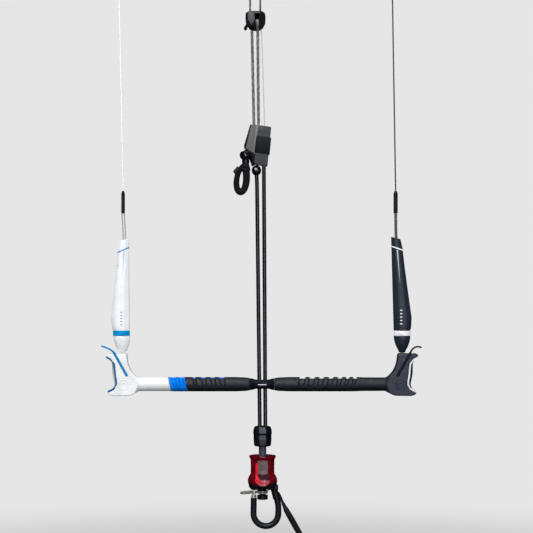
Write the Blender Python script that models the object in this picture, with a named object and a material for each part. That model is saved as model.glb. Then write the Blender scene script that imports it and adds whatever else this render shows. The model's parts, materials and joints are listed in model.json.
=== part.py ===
"""Control bar of a kitesurf kite, hung from its four lines.

Sizes and places are in millimetres and are turned into metres when a mesh is made. +Z is up, +X is to the right of
the rider who holds the bar, -Y faces the rider. The origin is at the level of the line ends, above the bar's middle.
"""

from math import atan2, cos, pi, radians, sin

import bmesh
import bpy
from mathutils import Matrix, Vector

MM = 0.001
GAP = 0.35  # left between pieces that touch
DEEP = 80.0  # how far a cutter reaches past what it cuts

# Lines and ropes
LINE_END_Z = -8.0  # where the lines stop under their end knots
FRONT_LINE = {"d": 3.4, "x": (-20.6, -3.7)}
LEADER_D = {"left": 2.0, "right": 2.4}
TRIM_ROPE_D = 5.0
FLAG_LINE_D = 1.6

# Separator at the top of the trim ropes
SEPARATOR_TOP_Z = -48.5
SEPARATOR_BOTTOM_Z = -81.2
SEPARATOR_HALF_DEPTH = 9.0

# Cleat block, which leans a little to the right at its top
CLEAT_TOP_Z = -238.0
CLEAT_HALF_DEPTH = 11.0

# Depower tubes: they lean to the left as they rise, and spread a little
TUBE_D = 6.6
TUBE_BOTTOM_Z = -746.0
TUBE_LEAN = -0.0088
TUBE_HALF_SPREAD = 4.8
TUBE_SPREAD_RISE = 0.0029
STOPPER_BALL = {"x": -10.1, "z": -313.3, "r": 8.2}

# Bar
BAR_X = -0.5
BAR_Z = -668.0
GRIP_R = 11.6
BORE_R = 8.3
CORE_TUBE_R = 8.0
CORE_TUBE_BORE_R = 6.5
HUB_HALF_LENGTH = 20.0
HUB_HALF_HEIGHT = 7.3
BUSH_R = 13.9
END_HALF_DEPTH = 13.0
END_START = 204.5

# Floats and the bar-end pivots they turn on
PIVOT = {"left": (-232.4, 0.0, -612.5), "right": (231.6, 0.0, -611.0)}
FLOAT_HALF_DEPTH = 12.5
PIGTAIL_D = 4.0
PIGTAIL_BORE_R = 2.5
SLEEVE_TOP_Z = -347.0
SLEEVE_BOTTOM_Z = -384.6

# Swivel and quick release, on the axis X = Y = 0
BARREL_TOP_Z = -737.6
BARREL_BOTTOM_Z = -770.7
SHAFT_R = 6.6
SLEEVE_RIM_Z = -786.5
SLEEVE_END_Z = -833.3
CORE_BOTTOM_Z = -842.0
POST_R = 5.0
POST_CAP_Z = (-851.8, -859.2)
RING_Z = -848.0
RING_WIRE_R = 1.5
RING_TAIL_TURN = 34.0  # how far its tail points behind the left, in degrees

# Chicken loop
LOOP_R = 4.85
FERRULE_TOP = (19.9, -844.1)
FERRULE_BOTTOM = (23.1, -856.2)
FERRULE_R = 6.6


def material(name, color, roughness, metallic=0.0):
    """A Principled material of one colour."""
    made = bpy.data.materials.new(name)
    made.use_nodes = True
    shader = made.node_tree.nodes["Principled BSDF"]
    shader.inputs["Base Color"].default_value = (*color, 1.0)
    shader.inputs["Roughness"].default_value = roughness
    shader.inputs["Metallic"].default_value = metallic
    made.diffuse_color = (*color, 1.0)
    return made


def add_object(name, mesh, finish, origin):
    """The mesh, in millimetres and world places, as an object whose own origin is at the given point."""
    mesh.transform(Matrix.Scale(MM, 4) @ Matrix.Translation(-Vector(origin)))
    mesh.shade_smooth()
    mesh.set_sharp_from_angle(angle=radians(35))
    mesh.materials.append(finish)
    made = bpy.data.objects.new(name, mesh)
    made.location = Vector(origin) * MM
    bpy.context.scene.collection.objects.link(made)
    return made


def mesh_of(name, rings, closed_loop=False):
    """A closed skin over rings of points: capped at both ends, or joined from the last ring to the first."""
    shape = bmesh.new()
    made = [[shape.verts.new(point) for point in ring] for ring in rings]
    pairs = list(zip(made, made[1:]))
    if closed_loop:
        pairs.append((made[-1], made[0]))
    else:
        shape.faces.new(made[0])
        shape.faces.new(made[-1])
    for first, second in pairs:
        count = len(first)
        for i in range(count):
            j = (i + 1) % count
            shape.faces.new((first[i], first[j], second[j], second[i]))
    bmesh.ops.recalc_face_normals(shape, faces=shape.faces)
    mesh = bpy.data.meshes.new(name)
    shape.to_mesh(mesh)
    shape.free()
    return mesh


def loft(name, rings, finish, origin=(0, 0, 0), closed_loop=False):
    return add_object(name, mesh_of(name, rings, closed_loop), finish, origin)


def ellipse(centre, half_x, half_y, sides=16, lean=0.0):
    """A ring of points round a vertical axis. lean lifts it by so much for each millimetre of X."""
    x, y, z = centre
    turns = [2 * pi * (i + 0.5) / sides for i in range(sides)]
    return [
        (x + half_x * cos(a), y + half_y * sin(a), z + lean * half_x * cos(a))
        for a in turns
    ]


def lathe(name, profile, finish, axis_x=0.0, axis_y=0.0, sides=24, bored=False, origin=None):
    """A profile of (radius, z) turned round a vertical axis. A bored piece's profile is a closed line."""
    rings = [ellipse((axis_x, axis_y, z), r, r, sides) for r, z in profile]
    return loft(name, rings, finish, origin or (axis_x, axis_y, profile[0][1]), bored)


def bar_lathe(name, profile, finish, sides=20, bored=True):
    """A profile of (distance from the bar's middle, radius) turned round the bar's own axis."""
    turns = [2 * pi * (i + 0.5) / sides for i in range(sides)]
    rings = [
        [(BAR_X + u, r * sin(a), BAR_Z + r * cos(a)) for a in turns]
        for u, r in profile
    ]
    return loft(name, rings, finish, (BAR_X, 0, BAR_Z), bored)


def prism(name, outline, y_low, y_high, finish, origin=(0, 0, 0), bevel=0.0):
    """An outline of (x, z) points, extruded along Y."""
    rings = [[(x, y, z) for x, z in outline] for y in (y_low, y_high)]
    made = loft(name, rings, finish, origin)
    if bevel:
        edge = made.modifiers.new("Edges", "BEVEL")
        edge.width = bevel * MM
        edge.segments = 1
        edge.limit_method = "ANGLE"
        edge.angle_limit = radians(50)
    return made


def cutter(mesh_object):
    """Turns an object into a guide that only cuts."""
    mesh_object.hide_render = True
    mesh_object.display_type = "WIRE"
    return mesh_object


def combine(target, tool, operation):
    step = target.modifiers.new(operation.title(), "BOOLEAN")
    step.operation = operation
    step.object = cutter(tool)


def cut(target, tool):
    combine(target, tool, "DIFFERENCE")


def smooth_path(route, count):
    """Evenly spaced points on a Catmull-Rom curve through the route's points."""
    knots = [Vector(p) for p in route]
    knots = [2 * knots[0] - knots[1], *knots, 2 * knots[-1] - knots[-2]]
    fine = []
    for a, b, c, d in zip(knots, knots[1:], knots[2:], knots[3:]):
        for i in range(24):
            t = i / 24
            bend = 2 * a - 5 * b + 4 * c - d
            fine.append(0.5 * (2 * b + t * (c - a) + t * t * bend + t**3 * (3 * b - a - 3 * c + d)))
    fine.append(knots[-2])
    lengths = [0.0]
    for p, q in zip(fine, fine[1:]):
        lengths.append(lengths[-1] + (q - p).length)
    points = []
    place = 0
    for i in range(count):
        wanted = lengths[-1] * i / (count - 1)
        while place < len(fine) - 2 and lengths[place + 1] < wanted:
            place += 1
        span = lengths[place + 1] - lengths[place]
        points.append(fine[place].lerp(fine[place + 1], (wanted - lengths[place]) / span))
    return points


def cord(name, route, diameter, finish, origin=None, step=3.0, resolution=2, most=80):
    """A tube of the cord's diameter along a smooth curve through the route's points."""
    length = sum((Vector(b) - Vector(a)).length for a, b in zip(route, route[1:]))
    points = smooth_path(route, max(3, min(most, round(length / (step * diameter)) + 1)))
    start = Vector(origin or route[0])
    data = bpy.data.curves.new(name, "CURVE")
    data.dimensions = "3D"
    data.bevel_depth = diameter * MM / 2
    data.bevel_resolution = resolution
    data.use_fill_caps = True
    line = data.splines.new("POLY")
    line.points.add(len(points) - 1)
    for spot, point in zip(line.points, points):
        spot.co = (*((point - start) * MM), 1.0)
    data.materials.append(finish)
    made = bpy.data.objects.new(name, data)
    made.location = start * MM
    bpy.context.scene.collection.objects.link(made)
    return made


def flat_sweep(path, radii, sides, normal, closed=False, flatness=1.0):
    """Rings of a wire along a path in the plane with this normal, a flat side of it facing to the path's left.

    flatness is the wire's half thickness along the normal, as a share of its radius in the plane."""
    points = [Vector(p) for p in path]
    up = Vector(normal)
    rings = []
    last = len(points) - 1
    for i, (point, radius) in enumerate(zip(points, radii)):
        before = points[i] - points[i - 1] if closed or i else points[1] - points[0]
        after = points[(i + 1) % len(points)] - points[i] if closed or i < last else before
        ahead = (before.normalized() + after.normalized()).normalized()
        side = up.cross(ahead)
        stretch = 1.0 / max(0.5, cos(before.angle(after) / 2))
        turns = [2 * pi * (k + 0.5) / sides for k in range(sides)]
        rings.append([point + radius * (stretch * cos(a) * side + flatness * sin(a) * up) for a in turns])
    return rings


def offset_line(points, distance):
    """The open line of (u, w) points moved sideways by this distance, to its left."""
    moved = []
    last = len(points) - 1
    for i, (u, w) in enumerate(points):
        before = Vector(points[max(i - 1, 0)])
        after = Vector(points[min(i + 1, last)])
        ahead = (after - before).normalized()
        moved.append((u - ahead.y * distance, w + ahead.x * distance))
    return moved


def tube_x(side, z):
    """The X of a depower tube's middle at this height: side is -1 for the left tube, 1 for the right one."""
    rise = z - BAR_Z
    return BAR_X + TUBE_LEAN * rise + side * (TUBE_HALF_SPREAD + TUBE_SPREAD_RISE * rise)


def make_front_lines(finish):
    """The separator, the two lines that it hangs from, and the ropes below it."""
    for side, x in zip(("left", "right"), FRONT_LINE["x"]):
        top = (x, 0, LINE_END_Z)
        foot = (x, 0, SEPARATOR_TOP_Z + GAP)
        cord(f"front_line_{side}", [top, (x, 0, (top[2] + foot[2]) / 2), foot],
             FRONT_LINE["d"], finish["front_line"])
        end_knot(f"front_line_knot_{side}", x, FRONT_LINE["d"], finish["front_line"])

    shoulders = [(-24.0, SEPARATOR_TOP_Z), (-2.5, SEPARATOR_TOP_Z), (2.6, -54.0), (4.8, -60.0),
                 (4.8, -70.0), (1.6, -78.5), (-5.0, SEPARATOR_BOTTOM_Z), (-19.5, SEPARATOR_BOTTOM_Z),
                 (-25.0, -76.0), (-28.6, -69.0), (-28.6, -58.0), (-26.6, -52.0)]
    body = prism("separator_body", shoulders, -SEPARATOR_HALF_DEPTH, SEPARATOR_HALF_DEPTH,
                 finish["black_plastic"], bevel=2.2)
    hook = [(-24.0, -66.0), (-20.0, -77.0), (-25.4, -80.6), (-30.5, -79.4), (-31.2, -72.5)]
    combine(body, prism("separator_hook", hook, -3.5, 3.5, finish["black_plastic"]), "UNION")

    rope_foot = CLEAT_TOP_Z + GAP + 0.5
    rope_head = SEPARATOR_BOTTOM_Z - GAP
    routes = {"left": (-17.6, -14.2), "right": (-8.0, -6.6)}
    for side, (x_top, x_low) in routes.items():
        middle = ((x_top + x_low) / 2, 0, (rope_head + rope_foot) / 2)
        cord(f"trim_rope_{side}", [(x_top, 0, rope_head), middle, (x_low, 0, rope_foot)],
             TRIM_ROPE_D, finish["rope"])
    flag = [(-1.8, 0, rope_head + 0.4), (1.0, 0, -158.0), (3.4, 0, CLEAT_TOP_Z - 0.6)]
    cord("flag_line", flag, FLAG_LINE_D, finish["flag_line"], step=2.6)


def end_knot(name, x, line_d, finish):
    """The knot that a kite's line is looped behind, with a flat underside round the line's end."""
    r = line_d * 1.15
    height = -LINE_END_Z - GAP
    profile = [(r * 0.7, 0.0), (r, -height * 0.3), (r, -height * 0.75), (r * 0.85, -height)]
    lathe(name, profile, finish, axis_x=x, sides=12)


def make_cleat(finish):
    """The cleat block with its cover, jaw and band, the stopper ball and the depower tubes."""
    housing = [(-6.5, -238.5), (14.5, -241.6), (8.1, -306.6), (-14.1, -303.4)]
    prism("cleat_housing", housing, -CLEAT_HALF_DEPTH, CLEAT_HALF_DEPTH, finish["black_plastic"], bevel=1.5)

    def across(height, out):
        """The band's left and right edges at this part of the housing's height, this far outside it."""
        left = Vector(housing[0]).lerp(Vector(housing[3]), height)
        right = Vector(housing[1]).lerp(Vector(housing[2]), height)
        ahead = (right - left).normalized() * out
        return left - ahead, right + ahead

    band = []
    for height in (0.27, 0.70):
        outer = across(height, 1.7)
        band.append([(x, y, z) for (x, z), y in
                     ((outer[0], -12.8), (outer[1], -12.8), (outer[1], 12.8), (outer[0], 12.8))])
    inner = []
    for height in (0.70, 0.27):
        edge = across(height, GAP)
        depth = CLEAT_HALF_DEPTH + GAP
        inner.append([(x, y, z) for (x, z), y in
                      ((edge[0], -depth), (edge[1], -depth), (edge[1], depth), (edge[0], depth))])
    loft("cleat_band", [*band, *inner], finish["rubber"], closed_loop=True)

    cover = [(-18.2, -237.6), (-9.2, -238.4), (-14.2, -282.2), (-28.2, -273.6)]
    prism("cleat_cover", cover, -9.5, 9.5, finish["grey_cover"], bevel=1.2)
    jaw = [(-28.4, -275.2), (-14.2, -283.7), (-13.4, -286.0), (-15.1, -302.6), (-16.9, -302.6),
           (-15.3, -286.6), (-28.4, -277.6)]
    prism("cleat_jaw", jaw, -7.0, 7.0, finish["jaw"])

    ball = STOPPER_BALL
    rounds = 8
    profile = [(ball["r"] * sin(pi * i / rounds), ball["z"] + ball["r"] * cos(pi * i / rounds))
               for i in range(rounds + 1)]
    profile[0] = (2.2, ball["z"] + ball["r"] * 0.965)
    profile[-1] = (2.6, ball["z"] - ball["r"] * 0.95)
    lathe("stopper_ball", profile, finish["gloss_black"], axis_x=ball["x"], sides=16)

    ball_foot = profile[-1][1] - GAP
    tops = {"left": (-1, ball["x"], ball_foot), "right": (1, 2.2, -306.6)}
    for side, (sign, x_top, z_top) in tops.items():
        heights = (-340.0, -400.0, -500.0, BAR_Z)
        route = [(x_top, 0, z_top), *((tube_x(sign, z), 0, z) for z in heights)]
        route.append((tube_x(sign, TUBE_BOTTOM_Z), 0, TUBE_BOTTOM_Z))
        cord(f"depower_tube_{side}", route, TUBE_D, finish["tube"], most=44)


def make_trim_handle(finish):
    """What hangs on the tail of the trim rope: a knob to push it back and a webbing loop to pull it."""
    pivot = (-27.8, -8.0, -279.6)
    profile = [(2.2, pivot[2]), (2.2, -281.0), (3.5, -281.7), (8.0, -283.6), (9.5, -287.4), (9.0, -291.4),
               (7.0, -294.6), (5.5, -304.4)]
    lathe("trim_knob", profile, finish["gloss_black"], axis_x=pivot[0], axis_y=pivot[1], sides=10, origin=pivot)

    outer = [(-31.6, -305.0), (-22.4, -305.0), (-19.4, -311.0), (-18.9, -321.0), (-20.4, -335.0),
             (-24.5, -347.0), (-31.0, -353.6), (-39.0, -354.2), (-45.0, -350.0), (-47.8, -341.0),
             (-47.4, -328.0), (-44.6, -317.5), (-38.0, -309.0)]
    hole = [(-31.6, -315.4), (-29.2, -320.0), (-30.4, -331.0), (-33.0, -340.4), (-36.0, -344.8),
            (-38.4, -342.6), (-38.4, -334.0), (-36.2, -322.0)]
    strap = prism("handle_strap", outer, -15.0, -1.0, finish["webbing"], origin=pivot, bevel=2.0)
    cut(strap, prism("handle_strap_hole", hole, -DEEP, DEEP, finish["webbing"]))
    tip = [(-44.0, -322.0), (-36.0, -311.0), (-41.2, -306.0), (-49.0, -315.4)]
    combine(strap, prism("strap_tip", tip, -14.0, -2.0, finish["webbing"]), "UNION")


def make_swivel(finish):
    """The barrel under the tubes, which the quick release turns in."""
    barrel = [(11.6, BARREL_TOP_Z), (13.4, -739.4), (15.4, -746.6), (15.6, -749.4), (14.8, -760.0),
              (14.2, -768.4), (12.0, BARREL_BOTTOM_Z), (SHAFT_R + 0.5, BARREL_BOTTOM_Z),
              (SHAFT_R + 0.5, -764.0), (10.4, -764.0), (10.4, -755.0), (1.2, -755.0), (1.2, BARREL_TOP_Z)]
    body = lathe("swivel_barrel", barrel, finish["black_plastic"], sides=24, bored=True)
    for side in (-1, 1):
        x = tube_x(side, TUBE_BOTTOM_Z)
        rings = [ellipse((x, 0, z), TUBE_D / 2 + GAP, TUBE_D / 2 + GAP, 12)
                 for z in (TUBE_BOTTOM_Z - GAP, BARREL_TOP_Z + 6.0)]
        cut(body, loft(f"tube_socket_{side + 1}", rings, finish["black_plastic"]))
    washer = [(7.2, -760.9), (9.8, -760.9), (9.8, -763.5), (7.2, -763.5)]
    lathe("thrust_washer", washer, finish["brass"], bored=True, sides=20)


def make_bar_middle(finish):
    """The bush that slides on the tubes and the hub that tilts round it."""
    half = HUB_HALF_HEIGHT

    def barrel_outline(r, height):
        """A disc of this radius with its top and bottom cut off level."""
        turn = atan2(height, (r * r - height * height) ** 0.5)
        right = [(-turn + 2 * turn * i / 6) for i in range(7)]
        left = [pi + a for a in right]
        return [(BAR_X + r * cos(a), BAR_Z + r * sin(a)) for a in (*right, *left)]

    bush = prism("centre_bush", barrel_outline(BUSH_R, half), -5.5, 5.5, finish["bush"],
                 origin=(BAR_X, 0, BAR_Z))
    slot_half = TUBE_HALF_SPREAD + TUBE_D / 2 + 1.0
    end_r = TUBE_D / 2 + GAP
    straight = slot_half - end_r
    turns = [-pi / 2 + pi * i / 6 for i in range(7)]
    outline = [(straight + end_r * cos(a), end_r * sin(a)) for a in turns]
    outline += [(-x, -y) for x, y in outline]
    rings = [[(BAR_X + TUBE_LEAN * (z - BAR_Z) + x, y, z) for x, y in outline]
             for z in (BAR_Z - 15, BAR_Z + 15)]
    cut(bush, loft("bush_slot", rings, finish["bush"]))

    def squarish(wave):
        """Pulls the sine or cosine of a turn outwards, so that a ring made with it has four soft corners."""
        return abs(wave) ** 0.6 * (1 if wave > 0 else -1)

    end_size, middle_size = (9.4, 8.4), (11.5, half)
    turns = [2 * pi * (i + 0.5) / 16 for i in range(16)]
    sections = []
    for u, (half_y, half_z) in ((-HUB_HALF_LENGTH, end_size), (-15.0, middle_size), (15.0, middle_size),
                                (HUB_HALF_LENGTH, end_size)):
        sections.append([(BAR_X + u, half_y * squarish(cos(a)), BAR_Z + half_z * squarish(sin(a)))
                         for a in turns])
    hub = loft("centre_hub", sections, finish["hub"], (BAR_X, 0, BAR_Z))
    room = prism("hub_opening", barrel_outline(BUSH_R + GAP, 12.0), -5.85, 5.85, finish["hub"])
    cut(hub, room)


def make_bar_grips(finish):
    """The two core tubes with the grips and sleeves on them."""
    for side, name in ((-1, "left"), (1, "right")):
        start, end = HUB_HALF_LENGTH + GAP, END_START + 14.0
        profile = [(side * start, CORE_TUBE_R), (side * end, CORE_TUBE_R),
                   (side * end, CORE_TUBE_BORE_R), (side * start, CORE_TUBE_BORE_R)]
        bar_lathe(f"core_tube_{name}", profile, finish["carbon"], sides=16)

    inner = HUB_HALF_LENGTH + GAP
    taper = [(inner, 9.2), (inner + 3, 9.8), (inner + 12, 11.0), (inner + 24, GRIP_R)]
    left_edge, blue_edge, end = 126.0, 156.3, END_START - GAP

    def sleeve(name, side, outer, stop, colour):
        """A sleeve from the first point of its outer line to the stop, bored for the core tube."""
        profile = [*outer, (stop, outer[-1][1]), (stop, BORE_R), (outer[0][0], BORE_R)]
        bar_lathe(name, [(side * u, r) for u, r in profile], colour)

    sleeve("grip_left", -1, taper, left_edge, finish["grip_black"])
    sleeve("grip_band", -1, [(left_edge + GAP, GRIP_R)], blue_edge, finish["grip_blue"])
    sleeve("bar_sleeve_left", -1, [(blue_edge + GAP, 11.0)], end, finish["white_plastic"])
    sleeve("grip_right", 1, taper, end, finish["grip_black"])


def make_bar_end(side, finish):
    """A bar end with horn, trim, cap and line retainer. side is -1 for the left end, 1 for the right one."""
    name = "left" if side < 0 else "right"
    body_finish = finish[f"end_{name}"]
    origin = (BAR_X, 0, BAR_Z)

    def place(points):
        return [(BAR_X + side * u, BAR_Z + w) for u, w in points]

    hollow = [(259.0, 44.4), (251.6, 40.2), (246.5, 34.1), (244.5, 16.1), (242.6, 1.0), (246.0, -5.6),
              (256.0, -11.0)]
    body_edge = offset_line(hollow, -(1.6 + GAP))
    outline = [(240.6, 49.4), (225.4, 49.4), (224.4, 42.5), (221.9, 29.7), (216.6, 20.0), (205.0, 11.4),
               (END_START, -12.0), (218.8, -18.4), (248.5, -18.4), (255.4, -14.4), *reversed(body_edge),
               (258.6, 48.6), (253.6, 51.8)]
    body = prism(f"bar_end_{name}", place(outline), -END_HALF_DEPTH, END_HALF_DEPTH, body_finish,
                 origin=origin, bevel=1.4)
    socket = [(side * (END_START - 5), BORE_R), (side * (END_START + 14.4), BORE_R)]
    cut(body, bar_lathe(f"tube_socket_{name}", socket, body_finish, sides=16, bored=False))

    strip = [*hollow, *reversed(offset_line(hollow, -1.6))]
    prism(f"end_trim_{name}", place(strip), -10.0, 10.0, finish[f"trim_{name}"], origin=origin)

    cap_u, cap_r, face = 229.0, 9.0, -END_HALF_DEPTH
    turns = [2 * pi * i / 20 for i in range(20)]
    recess = [(cap_u + (cap_r + GAP) * cos(a), (cap_r + GAP) * sin(a)) for a in turns]
    cut(body, prism(f"cap_recess_{name}", place(recess), face - 5, face + 2.0, body_finish))
    disc = [(cap_u + cap_r * cos(a), cap_r * sin(a)) for a in turns]
    prism(f"end_cap_{name}", place(disc), face - 0.6, face + 2.0 - GAP, body_finish, origin=origin)

    make_retainer(side, name, body, finish)


def make_retainer(side, name, body, finish):
    """The elastic that keeps wound lines on the horns: it lies in a slanted groove of the bar end."""
    cord_d = 3.4
    depth = -END_HALF_DEPTH + 1.0
    low, high = Vector((223.4, 14.0)), Vector((244.0, 51.0))
    run = (high - low).normalized()
    across = Vector((run.y, -run.x)) * (cord_d / 2 + 0.6)
    start, stop = low - run * 0.9, high + run * 20
    groove = [start - across, start + across, stop + across, stop - across]
    groove = [(BAR_X + side * u, BAR_Z + w) for u, w in groove]
    cut(body, prism(f"retainer_groove_{name}", groove, -DEEP, depth + cord_d / 2 + GAP, finish["jaw"]))
    flat = [(low.x, low.y, depth), (233.7, 32.5, depth), (high.x, high.y, depth)]
    tail = [(246.4, 54.6, -13.6), (250.0, 57.6, -15.6), (255.4, 60.6, -17.0), (262.0, 63.2, -17.6),
            (266.0, 64.2, -17.6)]
    route = [(BAR_X + side * u, y, BAR_Z + w) for u, w, y in (*flat, *tail)]
    cord(f"retainer_{name}", route, cord_d, finish[f"retainer_{name}"], step=2.4)


def make_float(side, finish):
    """A float of three parts on its pigtail, the line sleeve above it and the leader line."""
    name = "left" if side < 0 else "right"
    pivot = PIVOT[name]
    inner_x = {"left": (-221.7, -220.4), "right": (213.6, 217.6)}[name]
    top_z, foam_end_z = -430.0, -578.6
    widths = [(0.0, 15.6), (0.1, 18.8), (0.3, 21.4), (0.55, 25.4), (0.86, 30.6), (0.97, 29.2), (1.0, 28.0)]
    exit_x = {"left": -229.4, "right": 222.0}[name]

    def bore_centre(z):
        """The pigtail's place at this height: a straight line from the pivot to the float's top."""
        t = (z - pivot[2]) / (top_z - pivot[2])
        return (pivot[0] + t * (exit_x - pivot[0]), 0.0, z)

    def section(z, width, depth, lean=0.0, clear=0.0):
        t = (z - top_z) / (foam_end_z - top_z)
        inner = inner_x[0] + t * (inner_x[1] - inner_x[0])
        return ellipse((inner + side * width / 2, 0, z), width / 2 - clear, depth - clear, 16, lean)

    def bore(z, lean=0.0):
        return ellipse(bore_centre(z), PIGTAIL_BORE_R, PIGTAIL_BORE_R, 16, lean)

    slant = -side * 0.22
    foam = []
    for t, width in widths:
        z = top_z + t * (foam_end_z - top_z)
        depth = FLOAT_HALF_DEPTH * (0.62 + 0.38 * min(1.0, t / 0.86))
        foam.append(section(z, width, depth, slant if t == 0 else 0.0))
    rings = [*foam, bore(foam_end_z), bore(top_z, slant)]
    loft(f"float_{name}", rings, finish[f"float_{name}"], pivot, closed_loop=True)

    band_top, band_end = foam_end_z - GAP, -587.4
    depth = FLOAT_HALF_DEPTH
    rings = [section(band_top, 28.0, depth), section(band_end, 28.0, depth), bore(band_end), bore(band_top)]
    loft(f"float_band_{name}", rings, finish[f"band_{name}"], pivot, closed_loop=True)

    cone_top = band_end - GAP
    foot_r = 5.6
    rings = [section(cone_top, 27.6, depth), section(cone_top - 9.0, 27.2, depth)]
    for t in (0.35, 0.7):
        z = cone_top - 9.0 + t * (pivot[2] + 9.0 - cone_top)
        wide, place = 13.6 - 8.0 * t**1.6, section(z, 27.2, depth)
        middle = sum(p[0] for p in place) / len(place)
        middle += t * (pivot[0] - middle)
        rings.append(ellipse((middle, 0, z), wide, depth - 6.5 * t**1.6))
    for angle in (0, 35, 58):
        r = foot_r * cos(radians(angle))
        rings.append(ellipse((pivot[0], 0, pivot[2] - foot_r * sin(radians(angle))), r, r))
    rings += [bore(pivot[2] - foot_r * sin(radians(58))), bore(cone_top)]
    loft(f"float_cone_{name}", rings, finish[f"cone_{name}"], pivot, closed_loop=True)

    sleeve_x = {"left": (-231.5, -232.4), "right": (221.0, 221.6)}[name]
    pigtail = [(sleeve_x[0], 0, SLEEVE_BOTTOM_Z - GAP), bore_centre(top_z), bore_centre(-520.0),
               bore_centre(pivot[2])]
    cord(f"pigtail_{name}", pigtail, PIGTAIL_D, finish[f"pigtail_{name}"], pivot, most=30)

    sleeve_r = {"left": 3.2, "right": 3.7}[name]
    sleeve = [(sleeve_r * 0.75, SLEEVE_TOP_Z), (sleeve_r, SLEEVE_TOP_Z - 2.5), (sleeve_r, SLEEVE_BOTTOM_Z)]
    rings = [ellipse((sleeve_x[0], 0, z), r, r, 12) for r, z in sleeve]
    loft(f"line_sleeve_{name}", rings, finish["rubber"], pivot)

    top_x = {"left": -238.6, "right": 215.4}[name]
    route = [(top_x, 0, LINE_END_Z), ((top_x + sleeve_x[0]) / 2, 0, (LINE_END_Z + SLEEVE_TOP_Z) / 2),
             (sleeve_x[0], 0, SLEEVE_TOP_Z + GAP)]
    cord(f"leader_line_{name}", route, LEADER_D[name], finish[f"leader_{name}"], pivot, most=60)
    end_knot(f"leader_knot_{name}", top_x, 3.0, finish[f"leader_{name}"])


def make_release(finish):
    """What turns on the swivel: shaft, spring and its seat, push-away sleeve, core with its post, cap and ring."""
    shaft = [(9.6, -756.0), (9.6, -760.4), (SHAFT_R, -760.4), (SHAFT_R, -829.4)]
    lathe("swivel_shaft", shaft, finish["shaft"], sides=20)
    seat = [(SHAFT_R + GAP, -793.6), (16.6, -793.6), (16.6, -796.4), (SHAFT_R + GAP, -796.4)]
    lathe("spring_seat", seat, finish["black_plastic"], bored=True)

    wall = [(22.2, SLEEVE_RIM_Z), (22.4, -788.4), (20.7, -791.4), (19.7, -794.0), (19.7, -816.0),
            (21.8, -819.6), (24.1, -824.6), (24.3, -829.0), (23.6, SLEEVE_END_Z), (21.6, SLEEVE_END_Z),
            (21.6, -823.0), (17.6, -817.5), (SHAFT_R + 0.6, -817.5), (SHAFT_R + 0.6, -814.5),
            (17.4, -814.5), (17.4, -791.0), (20.4, SLEEVE_RIM_Z)]
    lathe("release_sleeve", wall, finish["red"], sides=28, bored=True)

    wire, coil_r, turns = 1.6, 12.0, 4
    low, high = -814.5 + GAP + wire / 2, -796.4 - GAP - wire / 2
    count = 12 * turns
    coil = [(coil_r * cos(2 * pi * i / 12), coil_r * sin(2 * pi * i / 12), low + (high - low) * i / count)
            for i in range(count + 1)]
    spring(coil, wire, finish["steel"])

    core = [(SHAFT_R + GAP, -829.8), (SHAFT_R + GAP, -818.2), (16.6, -818.2), (20.9, -823.8),
            (20.9, -834.0), (20.2, -836.4), (15.4, CORE_BOTTOM_Z), (POST_R, CORE_BOTTOM_Z),
            (POST_R, POST_CAP_Z[0] + GAP)]
    body = lathe("release_core", core, finish["black_plastic"], sides=28)
    lug = [(9.0, -834.6), (24.4, -834.6), (26.0, -837.0), (26.4, CORE_BOTTOM_Z), (11.0, CORE_BOTTOM_Z - 0.6),
           (9.0, -840.0)]
    combine(body, prism("loop_lug", lug, -8.5, 8.5, finish["black_plastic"]), "UNION")
    cap_top, cap_end = POST_CAP_Z
    cap = [(8.3, cap_top), (8.7, cap_top - 1.0), (8.7, cap_end + 1.2), (7.4, cap_end)]
    lathe("post_cap", cap, finish["black_plastic"], sides=20)
    make_leash_ring(finish["steel"])


def spring(points, wire, finish):
    data = bpy.data.curves.new("release_spring", "CURVE")
    data.dimensions = "3D"
    data.bevel_depth = wire * MM / 2
    data.bevel_resolution = 1
    data.use_fill_caps = True
    line = data.splines.new("POLY")
    line.points.add(len(points) - 1)
    for spot, point in zip(line.points, points):
        spot.co = (*(Vector(point) * MM), 1.0)
    data.materials.append(finish)
    bpy.context.scene.collection.objects.link(bpy.data.objects.new("release_spring", data))


def make_leash_ring(finish):
    """A wire ring round the post with a long narrow tail that points to the left and back."""
    turn = radians(RING_TAIL_TURN)
    along = Vector((-cos(turn), sin(turn), 0))
    across = Vector((-along.y, along.x, 0))
    eye_r, tail_half, tail = 7.4, 4.8, 38.0
    flat = [(eye_r * cos(radians(a)), eye_r * sin(radians(a))) for a in range(60, 301, 24)]
    flat += [(9.0, -5.0), (14.5, -tail_half)]
    flat += [(tail + tail_half * cos(radians(a)), tail_half * sin(radians(a))) for a in range(-90, 91, 36)]
    flat += [(14.5, tail_half), (9.0, 5.0)]
    path = [along * p + across * q + Vector((0, 0, RING_Z)) for p, q in flat]
    rings = flat_sweep(path, [RING_WIRE_R] * len(path), 8, (0, 0, 1), closed=True)
    loft("leash_ring", rings, finish, (0, 0, RING_Z), closed_loop=True)


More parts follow.
